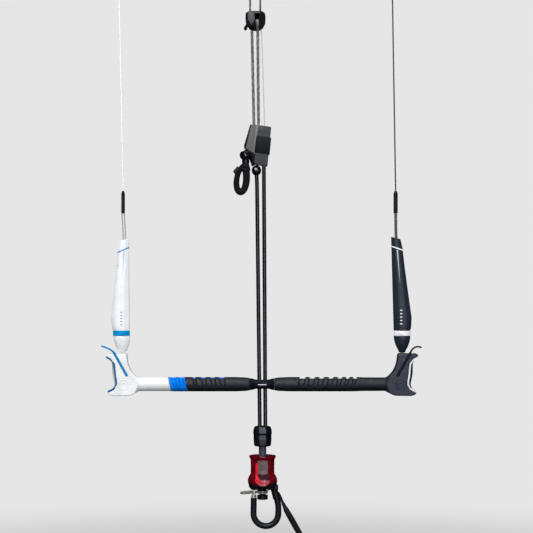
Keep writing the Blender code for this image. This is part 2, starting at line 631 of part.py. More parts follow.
def make_loop(finish):
    """The chicken loop: ferrule, loop tube and its end fitting, and the finger that keeps the hook in."""
    top, foot = Vector(FERRULE_TOP), Vector(FERRULE_BOTTOM)
    origin = (top.x, 0, top.y)
    lean = (foot - top).normalized()
    rings = []
    for t, r in ((0.0, 6.2), (0.12, FERRULE_R), (0.86, FERRULE_R), (1.0, 5.9)):
        middle = top.lerp(foot, t)
        turns = [2 * pi * (k + 0.5) / 16 for k in range(16)]
        rings.append([(middle.x - r * cos(a) * lean.y, r * sin(a), middle.y + r * cos(a) * lean.x)
                      for a in turns])
    loft("loop_ferrule", rings, finish["black_plastic"], origin)

    centre, bend, parts = Vector((5.6, -883.0)), 20.5, 11
    start = foot + lean * GAP
    left_end_x = -14.5
    path = [(left_end_x, 0, -856.8), (-14.6, 0, -866.0), (-14.8, 0, -875.0)]
    turns = [pi + pi * i / parts for i in range(parts + 1)]
    path += [(centre.x + bend * cos(a), 0, centre.y + bend * sin(a)) for a in turns]
    path += [(26.3, 0, -874.0), (25.7, 0, -866.5), (24.4, 0, -861.0), (start.x, 0, start.y)]
    rings = flat_sweep(path, [LOOP_R] * len(path), 12, (0, -1, 0))
    loft("loop_tube", rings, finish["loop"], origin)

    fitting = [(4.3, -856.4), (4.5, -855.0), (3.6, -852.6), (1.6, -851.8), (1.6, -843.4)]
    lathe("loop_fitting", fitting, finish["steel"], axis_x=left_end_x, sides=12)

    route = [(31.0, -852.5), (33.6, -862.0), (37.6, -870.0), (42.0, -878.0), (50.3, -893.4),
             (61.6, -914.2), (71.6, -932.6), (73.6, -936.2)]
    widths = [1.6, 2.1, 3.1, 4.5, 4.9, 4.8, 4.5, 2.8]
    rings = flat_sweep([(x, 0, z) for x, z in route], widths, 12, (0, -1, 0), flatness=0.85)
    loft("loop_finger", rings, finish["finger"], (route[0][0], 0, route[0][1]))


def finishes():
    """The colour and gloss of each kind of piece."""
    table = {
        "front_line": ((0.05, 0.05, 0.055), 0.8, 0.0),
        "rope": ((0.11, 0.12, 0.12), 0.85, 0.0),
        "flag_line": ((0.55, 0.57, 0.52), 0.8, 0.0),
        "black_plastic": ((0.02, 0.021, 0.026), 0.42, 0.0),
        "gloss_black": ((0.012, 0.012, 0.015), 0.2, 0.0),
        "grey_cover": ((0.2, 0.2, 0.19), 0.55, 0.0),
        "jaw": ((0.015, 0.015, 0.018), 0.5, 0.0),
        "rubber": ((0.018, 0.018, 0.022), 0.7, 0.0),
        "tube": ((0.015, 0.016, 0.022), 0.18, 0.0),
        "webbing": ((0.014, 0.014, 0.016), 0.85, 0.0),
        "brass": ((0.7, 0.5, 0.2), 0.35, 1.0),
        "bush": ((0.04, 0.04, 0.045), 0.35, 0.0),
        "hub": ((0.018, 0.018, 0.022), 0.4, 0.0),
        "carbon": ((0.03, 0.03, 0.033), 0.3, 0.0),
        "grip_black": ((0.025, 0.026, 0.032), 0.75, 0.0),
        "grip_blue": ((0.0, 0.16, 0.62), 0.6, 0.0),
        "white_plastic": ((0.85, 0.86, 0.87), 0.4, 0.0),
        "end_left": ((0.85, 0.86, 0.87), 0.4, 0.0),
        "end_right": ((0.045, 0.05, 0.065), 0.45, 0.0),
        "trim_left": ((0.01, 0.2, 0.55), 0.5, 0.0),
        "trim_right": ((0.8, 0.8, 0.8), 0.5, 0.0),
        "retainer_left": ((0.01, 0.22, 0.6), 0.5, 0.0),
        "retainer_right": ((0.02, 0.02, 0.025), 0.6, 0.0),
        "float_left": ((0.83, 0.84, 0.86), 0.6, 0.0),
        "float_right": ((0.04, 0.045, 0.06), 0.6, 0.0),
        "band_left": ((0.0, 0.25, 0.6), 0.5, 0.0),
        "band_right": ((0.85, 0.86, 0.87), 0.5, 0.0),
        "cone_left": ((0.83, 0.84, 0.86), 0.55, 0.0),
        "cone_right": ((0.04, 0.045, 0.06), 0.55, 0.0),
        "pigtail_left": ((0.3, 0.3, 0.3), 0.8, 0.0),
        "pigtail_right": ((0.2, 0.2, 0.2), 0.8, 0.0),
        "leader_left": ((0.85, 0.85, 0.85), 0.8, 0.0),
        "leader_right": ((0.06, 0.065, 0.075), 0.8, 0.0),
        "shaft": ((0.04, 0.04, 0.048), 0.35, 0.6),
        "red": ((0.35, 0.005, 0.015), 0.2, 0.0),
        "steel": ((0.62, 0.6, 0.57), 0.25, 1.0),
        "loop": ((0.03, 0.032, 0.04), 0.5, 0.0),
        "finger": ((0.012, 0.012, 0.014), 0.6, 0.0),
    }
    return {name: material(name, *values) for name, values in table.items()}


def main():
    for old in list(bpy.data.objects):
        bpy.data.objects.remove(old, do_unlink=True)
    finish = finishes()
    make_front_lines(finish)
    make_cleat(finish)
    make_trim_handle(finish)
    make_swivel(finish)
    make_bar_middle(finish)
    make_bar_grips(finish)
    for side in (-1, 1):
        make_bar_end(side, finish)
        make_float(side, finish)
    make_release(finish)
    make_loop(finish)


main()
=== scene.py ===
"""The looks of the kitesurf control bar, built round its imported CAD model.

Every piece is made in millimetres in the model's own frame (+Z up, -Y faces the camera) and is turned into
metres when its mesh is made. The origin is at the level of the line ends, above the bar's middle.
"""

import json
from math import acos, atan2, cos, exp, pi, radians, sin

import bmesh
import bpy
from mathutils import Matrix, Vector


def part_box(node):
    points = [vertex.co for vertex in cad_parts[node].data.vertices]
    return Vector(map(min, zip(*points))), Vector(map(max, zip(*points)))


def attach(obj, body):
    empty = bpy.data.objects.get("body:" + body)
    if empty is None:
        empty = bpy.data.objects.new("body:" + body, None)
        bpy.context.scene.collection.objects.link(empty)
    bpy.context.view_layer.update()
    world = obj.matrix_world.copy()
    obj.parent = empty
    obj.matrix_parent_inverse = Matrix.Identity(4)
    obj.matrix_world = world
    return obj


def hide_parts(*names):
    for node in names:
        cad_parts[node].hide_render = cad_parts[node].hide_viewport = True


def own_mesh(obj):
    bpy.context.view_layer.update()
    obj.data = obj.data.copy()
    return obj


MM = 0.001
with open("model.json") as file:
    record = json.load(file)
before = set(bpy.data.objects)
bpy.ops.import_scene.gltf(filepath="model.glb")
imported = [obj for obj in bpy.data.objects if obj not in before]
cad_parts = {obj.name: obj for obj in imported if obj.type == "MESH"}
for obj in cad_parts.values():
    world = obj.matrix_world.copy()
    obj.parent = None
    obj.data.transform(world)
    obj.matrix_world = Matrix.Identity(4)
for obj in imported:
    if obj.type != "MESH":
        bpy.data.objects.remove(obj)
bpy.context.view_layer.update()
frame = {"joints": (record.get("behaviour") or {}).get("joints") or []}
JOINTS = {joint["name"]: joint for joint in frame["joints"]}
FINISHES = {}
SIDES = {-1: "left", 1: "right"}


def low(node):
    """The lowest corner of a CAD node's box, in millimetres."""
    return Vector(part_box(node)[0]) / MM


def high(node):
    return Vector(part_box(node)[1]) / MM


def pivot(joint):
    """The place of a hinge, in millimetres."""
    return Vector(JOINTS[joint]["pos_m"]) / MM


# ---------------------------------------------------------------- numbers and lines


def clamp(value):
    """The value, kept from 0 to 1."""
    return min(1.0, max(0.0, value))


def angles(count, shift=0.0):
    """Even turns round a circle."""
    return [2 * pi * (i + shift) / count for i in range(count)]


def reading(table, at, eased=False):
    """The value at a place in a table of (place, value) rows, straight or eased from row to row."""
    for (p0, v0), (p1, v1) in zip(table, table[1:]):
        if at <= p1:
            t = (at - p0) / (p1 - p0)
            return v0 + (v1 - v0) * (t * t * (3 - 2 * t) if eased else t)
    return table[-1][1]


def finer(line, parts):
    """The line with points added. parts(p, q) is how many pieces the stretch from p to q becomes."""
    made = []
    for p, q in zip(line, line[1:]):
        count = parts(p, q)
        made += [tuple(a + (b - a) * i / count for a, b in zip(p, q)) for i in range(count)]
    return [*made, line[-1]]


def filleted(points, radius, closed=True, steps=4):
    """The outline with each corner rounded. radius is one value, or one for each corner."""
    made = []
    count = len(points)
    spots = [Vector(p) for p in points]
    for i, spot in enumerate(spots):
        size = radius[i] if isinstance(radius, (list, tuple)) else radius
        if size <= 0 or (not closed and i in (0, count - 1)):
            made.append(tuple(spot))
            continue
        back, ahead = spots[i - 1] - spot, spots[(i + 1) % count] - spot
        reach = min(size, 0.48 * back.length, 0.48 * ahead.length)
        start, end = spot + back.normalized() * reach, spot + ahead.normalized() * reach
        for k in range(steps + 1):
            t = k / steps
            made.append(tuple((1 - t) ** 2 * start + 2 * t * (1 - t) * spot + t * t * end))
    return made


def smooth_route(route, step):
    """Points about this far apart on a Catmull-Rom curve through the route's points."""
    knots = [Vector(p) for p in route]
    knots = [2 * knots[0] - knots[1], *knots, 2 * knots[-1] - knots[-2]]
    fine = []
    for a, b, c, d in zip(knots, knots[1:], knots[2:], knots[3:]):
        for i in range(48):
            t = i / 48
            bend = 2 * a - 5 * b + 4 * c - d
            fine.append(0.5 * (2 * b + t * (c - a) + t * t * bend + t**3 * (3 * b - a - 3 * c + d)))
    fine.append(knots[-2])
    lengths = [0.0]
    for p, q in zip(fine, fine[1:]):
        lengths.append(lengths[-1] + (q - p).length)
    count = max(2, round(lengths[-1] / step))
    points, place = [], 0
    for i in range(count + 1):
        wanted = lengths[-1] * i / count
        while place < len(fine) - 2 and lengths[place + 1] < wanted:
            place += 1
        span = max(1e-9, lengths[place + 1] - lengths[place])
        points.append(fine[place].lerp(fine[place + 1], (wanted - lengths[place]) / span))
    return points


# ---------------------------------------------------------------- meshes


def link(name, mesh):
    made = bpy.data.objects.new(name, mesh)
    bpy.context.scene.collection.objects.link(made)
    return made


def shell(rings, closed=False):
    """A skin over rings of points, with its end caps, or joined from the last ring to the first."""
    shape = bmesh.new()
    made = [[shape.verts.new(p) for p in ring] for ring in rings]
    pairs, caps = list(zip(made, made[1:])), []
    if closed:
        pairs.append((made[-1], made[0]))
    else:
        caps = [shape.faces.new(made[0]), shape.faces.new(made[-1])]
    for first, second in pairs:
        for i in range(len(first)):
            j = (i + 1) % len(first)
            shape.faces.new((first[i], first[j], second[j], second[i]))
    return shape, caps


def mesh_from(name, shape, smooth_angle=40):
    """The bmesh, in millimetres, as an object in metres, with its faces turned outwards."""
    bmesh.ops.recalc_face_normals(shape, faces=shape.faces)
    mesh = bpy.data.meshes.new(name)
    shape.to_mesh(mesh)
    shape.free()
    mesh.transform(Matrix.Scale(MM, 4))
    mesh.shade_smooth()
    mesh.set_sharp_from_angle(angle=radians(smooth_angle))
    return link(name, mesh)


def skin(name, rings, closed=False, smooth_angle=40):
    return mesh_from(name, shell(rings, closed)[0], smooth_angle)


def turned(name, profile, axis=(0, 0), sides=96, closed=False, fillet=0.0, wobble=None):
    """A profile of (radius, z) turned round a vertical axis. wobble(angle, z) scales the radius."""
    line = filleted(profile, fillet, closed) if fillet else profile
    turns = angles(sides)
    rings = []
    for r, z in line:
        scale = [wobble(a, z) if wobble else 1.0 for a in turns]
        rings.append([(axis[0] + r * s * cos(a), axis[1] + r * s * sin(a), z) for a, s in zip(turns, scale)])
    return skin(name, rings, closed)


def faceted(name, profile, axis, sides, edge):
    """A turned shape with few flat sides and slightly rounded edges, as a moulded ball has."""
    turns = angles(sides, 0.5)
    shape, _ = shell([[(axis[0] + r * cos(a), axis[1] + r * sin(a), z) for a in turns] for r, z in profile])
    bmesh.ops.recalc_face_normals(shape, faces=shape.faces)
    bmesh.ops.bevel(shape, geom=shape.edges[:], offset=edge, segments=2, profile=0.5, affect="EDGES")
    return mesh_from(name, shape, 25)


def tube(name, points, radius, sides=24, closed=False, rounded=0.0, start_side=(0, -1, 0)):
    """A tube along points. radius(distance, angle) or a number. rounded is the length of its domed ends."""
    last = len(points) - 1
    size = radius if callable(radius) else (lambda s, a: radius)
    side = Vector(start_side)
    distance, rings, total = 0.0, [], sum((q - p).length for p, q in zip(points, points[1:]))
    for i, point in enumerate(points):
        back = points[i] - points[i - 1] if i or closed else points[1] - points[0]
        ahead = points[(i + 1) % len(points)] - points[i] if i < last or closed else back
        along = (back.normalized() + ahead.normalized()).normalized()
        side = (side - along * side.dot(along)).normalized()
        other = along.cross(side)
        if i:
            distance += back.length
        dome = 1.0
        near = min(distance, total - distance)
        if rounded and near < rounded:
            dome = max(0.12, (1 - (1 - near / rounded) ** 2) ** 0.5)
        rings.append([point + dome * size(distance, a) * (cos(a) * side + sin(a) * other)
                      for a in angles(sides)])
    return skin(name, rings, closed)


def solid(name, outline, front, back, edge=0.0, fillet=0.0, steps=4, segments=3):
    """An outline of (x, z) points, with rounded corners, extruded along Y, with rounded edges."""
    line = filleted(outline, fillet, steps=steps) if fillet else outline
    shape, caps = shell([[(x, y, z) for x, z in line] for y in (front, back)])
    if edge:
        rims = list({rim for cap in caps for rim in cap.edges})
        bmesh.ops.bevel(shape, geom=rims, offset=edge, segments=segments, profile=0.5, affect="EDGES")
    return mesh_from(name, shape)


def apply_modifiers(obj):
    graph = bpy.context.evaluated_depsgraph_get()
    mesh = bpy.data.meshes.new_from_object(obj.evaluated_get(graph))
    obj.modifiers.clear()
    obj.data = mesh
    return obj


def joined(name, objects):
    """One object that holds all these meshes."""
    shape = bmesh.new()
    for obj in objects:
        shape.from_mesh(obj.data)
        bpy.data.objects.remove(obj)
    mesh = bpy.data.meshes.new(name)
    shape.to_mesh(mesh)
    shape.free()
    return link(name, mesh)


def moulded(name, objects, voxel, smoothing):
    """The objects melted into one body with soft inner corners, as from one mould."""
    made = joined(name, objects)
    melt = made.modifiers.new("Melt", "REMESH")
    melt.mode = "VOXEL"
    melt.voxel_size = voxel * MM
    melt.use_smooth_shade = True
    relax = made.modifiers.new("Relax", "SMOOTH")
    relax.factor = 0.5
    relax.iterations = smoothing
    return apply_modifiers(made)


def carved(obj, *cutters):
    """The object with these shapes cut out of it."""
    for tool in cutters:
        step = obj.modifiers.new("Carve", "BOOLEAN")
        step.operation = "DIFFERENCE"
        step.solver = "EXACT"
        step.object = tool
    apply_modifiers(obj)
    for tool in cutters:
        bpy.data.objects.remove(tool)
    obj.data.shade_smooth()
    obj.data.set_sharp_from_angle(angle=radians(40))
    return obj


def place(obj, body, finish, *nodes):
    """Gives a piece its finish and its body, and the CAD nodes that it stands for."""
    obj.data.materials.clear()
    obj.data.materials.append(FINISHES[finish].material)
    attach(obj, body)
    if nodes:
        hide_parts(*nodes)
    return obj


# ---------------------------------------------------------------- materials


class Nodes:
    """A node tree under construction, with short names for the nodes that it needs."""

    def __init__(self, tree):
        self.tree = tree

    def feed(self, socket, value):
        """Gives a socket a number, a colour or another node's output."""
        if isinstance(value, bpy.types.NodeSocket):
            self.tree.links.new(value, socket)
        else:
            is_color = socket.type == "RGBA" and len(value) == 3
            socket.default_value = (*value, 1.0) if is_color else value

    def node(self, kind, inputs=None, **settings):
        made = self.tree.nodes.new(kind)
        for name, value in settings.items():
            setattr(made, name, value)
        for name, value in (inputs or {}).items():
            self.feed(made.inputs[name], value)
        return made

    def ranged(self, value, low_in, high_in, low_out=0.0, high_out=1.0, easing="LINEAR"):
        limits = {"From Min": low_in, "From Max": high_in, "To Min": low_out, "To Max": high_out}
        made = self.node("ShaderNodeMapRange", {"Value": value, **limits}, interpolation_type=easing)
        return made.outputs["Result"]

    def math(self, operation, *values):
        made = self.node("ShaderNodeMath", operation=operation)
        for socket, value in zip(made.inputs, values):
            self.feed(socket, value)
        return made.outputs["Value"]


class Finish(Nodes):
    """A Principled material, its slot and its place in FINISHES."""

    def __init__(self, name, slot, color, roughness, metallic=0.0, **sockets):
        self.material = bpy.data.materials.new(name)
        self.material.use_nodes = True
        super().__init__(self.material.node_tree)
        self.slot = slot
        FINISHES[name] = self
        self.shader = self.tree.nodes["Principled BSDF"].inputs
        self.spot = self.node("ShaderNodeTexCoord").outputs["Object"]
        self.feed(self.shader["Base Color"], color)
        self.feed(self.shader["Roughness"], roughness)
        self.feed(self.shader["Metallic"], metallic)
        for socket, value in sockets.items():
            self.feed(self.shader[socket.replace("_", " ")], value)

    def noise(self, scale, detail=3.0, stretch=None):
        """Noise with about this many grains in a metre."""
        spot = self.spot
        if stretch:
            spot = self.node("ShaderNodeMapping", {"Vector": spot, "Scale": stretch}).outputs["Vector"]
        made = self.node("ShaderNodeTexNoise", {"Vector": spot, "Scale": scale, "Detail": detail})
        return made.outputs["Fac"]

    def mixed(self, amount, first, second):
        """A colour between two others, each a tuple or another node's colour."""
        made = self.node("ShaderNodeMix", data_type="RGBA")
        colors = [socket for socket in made.inputs if socket.type == "RGBA"]
        for socket, value in zip((made.inputs[0], *colors), (amount, first, second)):
            self.feed(socket, value)
        return [socket for socket in made.outputs if socket.type == "RGBA"][0]

    def paint(self, color):
        self.feed(self.shader["Base Color"], color)

    def mottled(self, dark, light, scale, detail=3.0, limits=(0.3, 0.7), stretch=None):
        """Clouds of one colour in the other. limits are the noise values where each is pure."""
        self.paint(self.mixed(self.ranged(self.noise(scale, detail, stretch), *limits), dark, light))

    def dulled(self, smoothest, roughest, scale, detail=3.0, limits=(0.3, 0.7), stretch=None):
        """Roughness that changes over the surface."""
        uneven = self.ranged(self.noise(scale, detail, stretch), *limits, smoothest, roughest)
        self.feed(self.shader["Roughness"], uneven)

    def bump(self, height, strength, distance):
        """Adds a bump to those that are there."""
        made = self.node("ShaderNodeBump", {"Height": height, "Strength": strength, "Distance": distance})
        normal = self.shader["Normal"]
        if normal.is_linked:
            self.feed(made.inputs["Normal"], normal.links[0].from_socket)
        self.feed(normal, made.outputs["Normal"])

    def cells(self, scale, strength, distance):
        """The closed cells of a foam, as a bump."""
        made = self.node("ShaderNodeTexVoronoi", {"Vector": self.spot, "Scale": scale})
        self.bump(made.outputs["Distance"], strength, distance)

    def coordinate(self, axis):
        """The X, Y or Z of the surface, in metres."""
        return self.node("ShaderNodeSeparateXYZ", {"Vector": self.spot}).outputs[axis]


def shade(color, factor, lift=0.0):
    return tuple(min(1.0, c * factor + lift) for c in color)


def plastic(name, slot, color, roughness, grain=1400.0, depth=0.12, spread=0.05, **sockets):
    """Moulded plastic: a fine eroded grain, faint cloudiness and uneven gloss."""
    made = Finish(name, slot, color, roughness, **sockets)
    made.mottled(shade(color, 0.88), shade(color, 1.06), 45.0, 4.0)
    made.dulled(roughness - spread, roughness + spread, 220.0)
    made.bump(made.noise(grain, 2.0), depth, 0.00015)


def red_plastic(name, color, roughness, deep):
    """Clear-coated red plastic, deeper in tone where moulding marks cloud it."""
    made = Finish(name, "red_plastic", color, roughness, Coat_Weight=0.6, Coat_Roughness=0.06)
    made.mottled(deep, color, 70.0, 5.0, (0.35, 0.7))
    made.dulled(roughness - 0.05, roughness + 0.08, 240.0)
    made.bump(made.noise(130.0, 2.0), 0.06, 0.0004)


def foam(name, slot, color, roughness):
    """Closed-cell foam with a pressed skin: fine cells, shallow dents."""
    made = Finish(name, slot, color, roughness)
    made.mottled(shade(color, 0.96), shade(color, 1.05), 60.0, 5.0)
    made.dulled(roughness - 0.06, roughness + 0.08, 300.0)
    made.cells(900.0, 0.18, 0.00012)
    made.bump(made.noise(160.0), 0.05, 0.0003)
    return made


def grip_foam(name, slot, color, roughness, depth=0.35, **sockets):
    """The softer foam of the grips, with open cells."""
    made = Finish(name, slot, color, roughness, **sockets)
    made.mottled(shade(color, 0.8), shade(color, 1.25), 90.0, 5.0)
    made.dulled(roughness - 0.08, roughness + 0.08, 200.0)
    made.cells(1100.0, depth, 0.00018)
    made.bump(made.noise(260.0), 0.2, 0.0003)


def rubber(name, slot, color, roughness, grain=1100.0):
    """Dusty matt rubber."""
    made = Finish(name, slot, color, roughness, Specular_IOR_Level=0.25)
    made.mottled(color, shade(color, 1.7, 0.004), 35.0, 6.0, (0.42, 0.75))
    made.dulled(roughness - 0.08, roughness + 0.08, 160.0, 4.0)
    made.bump(made.noise(grain), 0.22, 0.0002)


def yarn(name, slot, dark, light, scale):
    """Braided yarn: light and dark flecks as long as a strand's turn, with fine fibres."""
    made = Finish(name, slot, dark, 0.85, Specular_IOR_Level=0.2)
    made.mottled(dark, light, scale, 2.0, (0.42, 0.58), (1.0, 1.0, 0.5))
    made.bump(made.noise(scale * 6, 2.0, (1.0, 1.0, 0.25)), 0.5, 0.0002)


def metal(name, slot, color, roughness, stretch=(1.0, 1.0, 14.0)):
    """Polished metal with fine drawn lines, a little clouded so that it keeps a tone of its own."""
    made = Finish(name, slot, color, roughness, 0.55)
    made.dulled(roughness - 0.06, roughness + 0.12, 420.0, stretch=stretch)
    made.bump(made.noise(420.0, 3.0, stretch), 0.06, 0.0001)


def webbing(name, color, roughness, gloss, dark, light, scale):
    """Woven nylon strap, before its weave."""
    made = Finish(name, "webbing", color, roughness, Specular_IOR_Level=gloss)
    made.mottled(dark, light, scale, limits=(0.35, 0.7))
    return made


def make_plastics():
    plastic("SeparatorPlastic", "black_plastic", (0.0018, 0.0022, 0.004), 0.42, Specular_IOR_Level=0.06)
    plastic("SeparatorGrey", "grey_plastic", (0.052, 0.054, 0.06), 0.5)
    plastic("HousingPlastic", "grey_plastic", (0.02, 0.022, 0.028), 0.46, 1700.0, 0.2)
    plastic("JawPlastic", "black_plastic", (0.003, 0.003, 0.0045), 0.45, Specular_IOR_Level=0.15)
    plastic("CoverPlastic", "grey_plastic", (0.1, 0.1, 0.092), 0.55, 900.0, 0.3)
    plastic("CoverEdge", "grey_plastic", (0.165, 0.163, 0.15), 0.5)
    plastic("GlossBlack", "gloss_black", (0.0035, 0.0035, 0.005), 0.2, 500.0, 0.03, Coat_Weight=0.5,
            Coat_Roughness=0.08)
    plastic("BarrelPlastic", "black_plastic", (0.0035, 0.004, 0.008), 0.3, 800.0, 0.015, 0.02,
            Specular_IOR_Level=1.0)
    plastic("BlueBand", "blue_trim", (0.0, 0.27, 0.6), 0.42, Specular_IOR_Level=0.04)
    plastic("WhiteBand", "white_trim", (0.82, 0.825, 0.83), 0.4)
    plastic("WhiteTube", "white_plastic", (0.87, 0.875, 0.87), 0.42, depth=0.05, spread=0.04)
    plastic("CreamRim", "white_plastic", (0.72, 0.66, 0.56), 0.5)
    plastic("HubPlastic", "black_plastic", (0.0028, 0.004, 0.008), 0.4, Specular_IOR_Level=0.1)
    plastic("MarkerGrey", "white_trim", (0.72, 0.73, 0.75), 0.5)
    plastic("BushNylon", "bush_plastic", (0.016, 0.017, 0.02), 0.32)
    plastic("WhiteHorn", "white_plastic", (0.86, 0.87, 0.88), 0.36, depth=0.06, spread=0.04)
    # The left flange's cream is the white horn plastic painted in shade.
    plastic("CreamFlange", "white_plastic", (0.66, 0.63, 0.56), 0.5)
    plastic("BlueTrim", "blue_trim", (0.0, 0.115, 0.32), 0.45, Specular_IOR_Level=0.1)
    plastic("NavyHorn", "navy_plastic", (0.016, 0.022, 0.037), 0.42, depth=0.08)
    # The right flange's darker navy is the navy horn plastic painted in shade.
    plastic("DarkFlange", "navy_plastic", (0.005, 0.0055, 0.009), 0.5)
    plastic("WhiteTrim", "white_trim", (0.8, 0.81, 0.82), 0.4)
    plastic("ReleasePlastic", "black_plastic", (0.0035, 0.004, 0.0068), 0.36, depth=0.03, spread=0.03,
            Specular_IOR_Level=0.4)
    plastic("PanelGrey", "red_plastic", (0.15, 0.105, 0.108), 0.36, depth=0.05)
    plastic("InsetGrey", "red_plastic", (0.095, 0.075, 0.078), 0.42, depth=0.05)
    # A light red for the release sleeve's painted highlights.
    plastic("PaintedHighlightRed", "red_plastic", (0.95, 0.002, 0.02), 0.45, Specular_IOR_Level=0.15)
    plastic("DeepRed", "red_plastic", (0.028, 0.006, 0.01), 0.55, Specular_IOR_Level=0.12)
    red_plastic("ReleaseRed", (0.17, 0.0015, 0.009), 0.2, (0.08, 0.001, 0.005))
    red_plastic("ShieldRose", (0.46, 0.075, 0.085), 0.3, (0.34, 0.045, 0.055))
    # Painted shade for the inside of the separator's window: near black, without gloss.
    window = Finish("PaintedWindowShade", "black_plastic", (0.001, 0.001, 0.0015), 0.9, Specular_IOR_Level=0.0)
    window.mottled((0.0008, 0.0008, 0.0012), (0.0016, 0.0016, 0.0022), 300.0)


def make_metals():
    metal("Brass", "washer_brass", (0.68, 0.47, 0.2), 0.3, (6.0, 6.0, 1.0))
    metal("DarkAnodised", "dark_metal", (0.09, 0.092, 0.115), 0.42, (5.0, 5.0, 1.0))
    metal("SpringSteel", "steel", (0.55, 0.54, 0.52), 0.25)
    metal("RingSteel", "steel", (0.62, 0.59, 0.54), 0.2, (1.0, 1.0, 1.0))
    carbon = Finish("CoreCarbon", "core_tube", (0.02, 0.02, 0.022), 0.3)
    squares = {"Scale": 500.0, "Color1": (0.014, 0.014, 0.016), "Color2": (0.035, 0.035, 0.038)}
    weave = carbon.node("ShaderNodeTexChecker", {"Vector": carbon.spot, **squares})
    carbon.paint(weave.outputs["Color"])
    carbon.bump(carbon.noise(700.0, 2.0), 0.1, 0.0002)


def make_soft_finishes():
    """Rubbers, foams and the sheaths of the tubes."""
    rubber("BandRubber", "black_rubber", (0.0042, 0.005, 0.0085), 0.62)
    rubber("SleeveRubber", "black_rubber", (0.005, 0.0055, 0.009), 0.5)
    rubber("FingerRubber", "loop_rubber", (0.0028, 0.0032, 0.0055), 0.5, 500.0)
    foam("WhiteCone", "white_foam", FLOAT_WHITE, 0.45)
    foam("NavyCone", "navy_foam", FLOAT_NAVY, 0.42)
    grip_foam("GripFoam", "grip_foam", (0.0085, 0.0092, 0.0145), 0.56)
    grip_foam("BlueGrip", "blue_grip", (0.0, 0.18, 0.7), 0.5, 0.2, Specular_IOR_Level=0.04)
    dark = (0.004, 0.0045, 0.008)
    coat = Finish("DepowerTube", "depower_tube", dark, 0.2, Coat_Weight=0.8, Coat_Roughness=0.1)
    coat.mottled(dark, (0.009, 0.0095, 0.014), 90.0, 6.0, (0.45, 0.8), (1.0, 1.0, 0.15))
    coat.dulled(0.16, 0.22, 120.0, 3.0, (0.3, 0.75), (1.0, 1.0, 0.1))
    coat.bump(coat.noise(40.0, 2.0, (1.0, 1.0, 0.2)), 0.02, 0.0004)
    satin = Finish("LoopRubber", "loop_rubber", (0.0055, 0.0062, 0.0105), 0.36, Specular_IOR_Level=0.35)
    satin.mottled((0.005, 0.0058, 0.01), (0.011, 0.012, 0.017), 60.0, 5.0, (0.4, 0.75))
    satin.dulled(0.32, 0.4, 180.0, 4.0)
    satin.bump(satin.noise(1500.0, 2.0), 0.05, 0.0002)


def make_yarns():
    """Lines, ropes, elastics and webbing."""
    yarn("DarkBraid", "dark_line", (0.035, 0.035, 0.036), (0.21, 0.21, 0.2), 900.0)
    yarn("WhiteBraid", "white_line", (0.86, 0.86, 0.85), (0.95, 0.95, 0.94), 1200.0)
    yarn("GreyBraid", "grey_line", (0.018, 0.02, 0.026), (0.1, 0.105, 0.115), 1200.0)
    yarn("RopeBraid", "trim_rope", (0.016, 0.018, 0.021), (0.27, 0.27, 0.26), 1050.0)
    yarn("FlagBraid", "flag_line", (0.3, 0.31, 0.28), (0.62, 0.63, 0.58), 1500.0)
    yarn("Thread", "webbing", (0.03, 0.03, 0.034), (0.12, 0.12, 0.13), 2500.0)
    yarn("PigtailPale", "grey_line", (0.2, 0.2, 0.2), (0.5, 0.5, 0.5), 1300.0)
    yarn("PigtailDark", "grey_line", (0.035, 0.038, 0.042), (0.14, 0.145, 0.15), 900.0)
    yarn("BlueElastic", "blue_elastic", (0.0, 0.17, 0.44), (0.0, 0.32, 0.66), 1500.0)
    yarn("BlackElastic", "black_elastic", (0.003, 0.0035, 0.006), (0.02, 0.021, 0.026), 1500.0)
    web = webbing("Webbing", (0.0035, 0.0035, 0.005), 0.8, 0.1,
                  (0.0025, 0.0025, 0.004), (0.011, 0.0115, 0.015), 500.0)
    weave = web.node("ShaderNodeTexWave", {"Vector": web.spot, "Scale": 330.0, "Distortion": 1.5},
                     wave_type="BANDS", bands_direction="DIAGONAL")
    web.bump(weave.outputs["Color"], 0.35, 0.0003)
    web.bump(web.noise(2500.0, 2.0), 0.3, 0.0002)
    tip = webbing("TipWebbing", (0.008, 0.0085, 0.011), 0.7, 0.3,
                  (0.006, 0.0065, 0.009), (0.02, 0.021, 0.026), 700.0)
    tip.bump(tip.noise(1800.0, 2.0), 0.4, 0.0003)


# ---------------------------------------------------------------- camera, room and light


def make_camera():
    """A long lens straight in front, level with the middle of what shows of the bar and its lines."""
    data = bpy.data.cameras.new("Camera")
    data.sensor_width = 36.0
    data.lens = 113.9
    camera = link("Camera", data)
    camera.location = (0.0066, -2.8, -0.4726)
    camera.rotation_euler = (pi / 2, 0, 0)
    bpy.context.scene.camera = camera


def make_room():
    """A round pale floor that fades into the background, under soft light from in front, above and behind."""
    floor_z, floor_r = -1.05, 1.44
    shape = bmesh.new()
    bmesh.ops.create_circle(shape, cap_ends=True, radius=floor_r, segments=128)
    mesh = bpy.data.meshes.new("Floor")
    shape.to_mesh(mesh)
    shape.free()
    floor = link("Floor", mesh)
    floor.location.z = floor_z
    floor.visible_diffuse = floor.visible_glossy = False
    white = (1.0, 1.0, 1.0, 1.0)
    paper = Finish("Paper", "floor", (0.0, 0.0, 0.0), 1.0, Specular_IOR_Level=0.0, Emission_Color=white)
    paper.feed(paper.shader["Emission Strength"], paper.ranged(paper.noise(40.0, 5.0), 0.2, 0.8, 0.585, 0.6))
    away = paper.node("ShaderNodeVectorMath", {"Vector": paper.spot}, operation="LENGTH").outputs["Value"]
    paper.feed(paper.shader["Alpha"], paper.ranged(away, 0.74, floor_r - 0.01, 1.0, 0.0, "SMOOTHSTEP"))
    mesh.materials.append(paper.material)
    make_sky()
    make_lights()
    bpy.context.scene.view_settings.view_transform = "Standard"


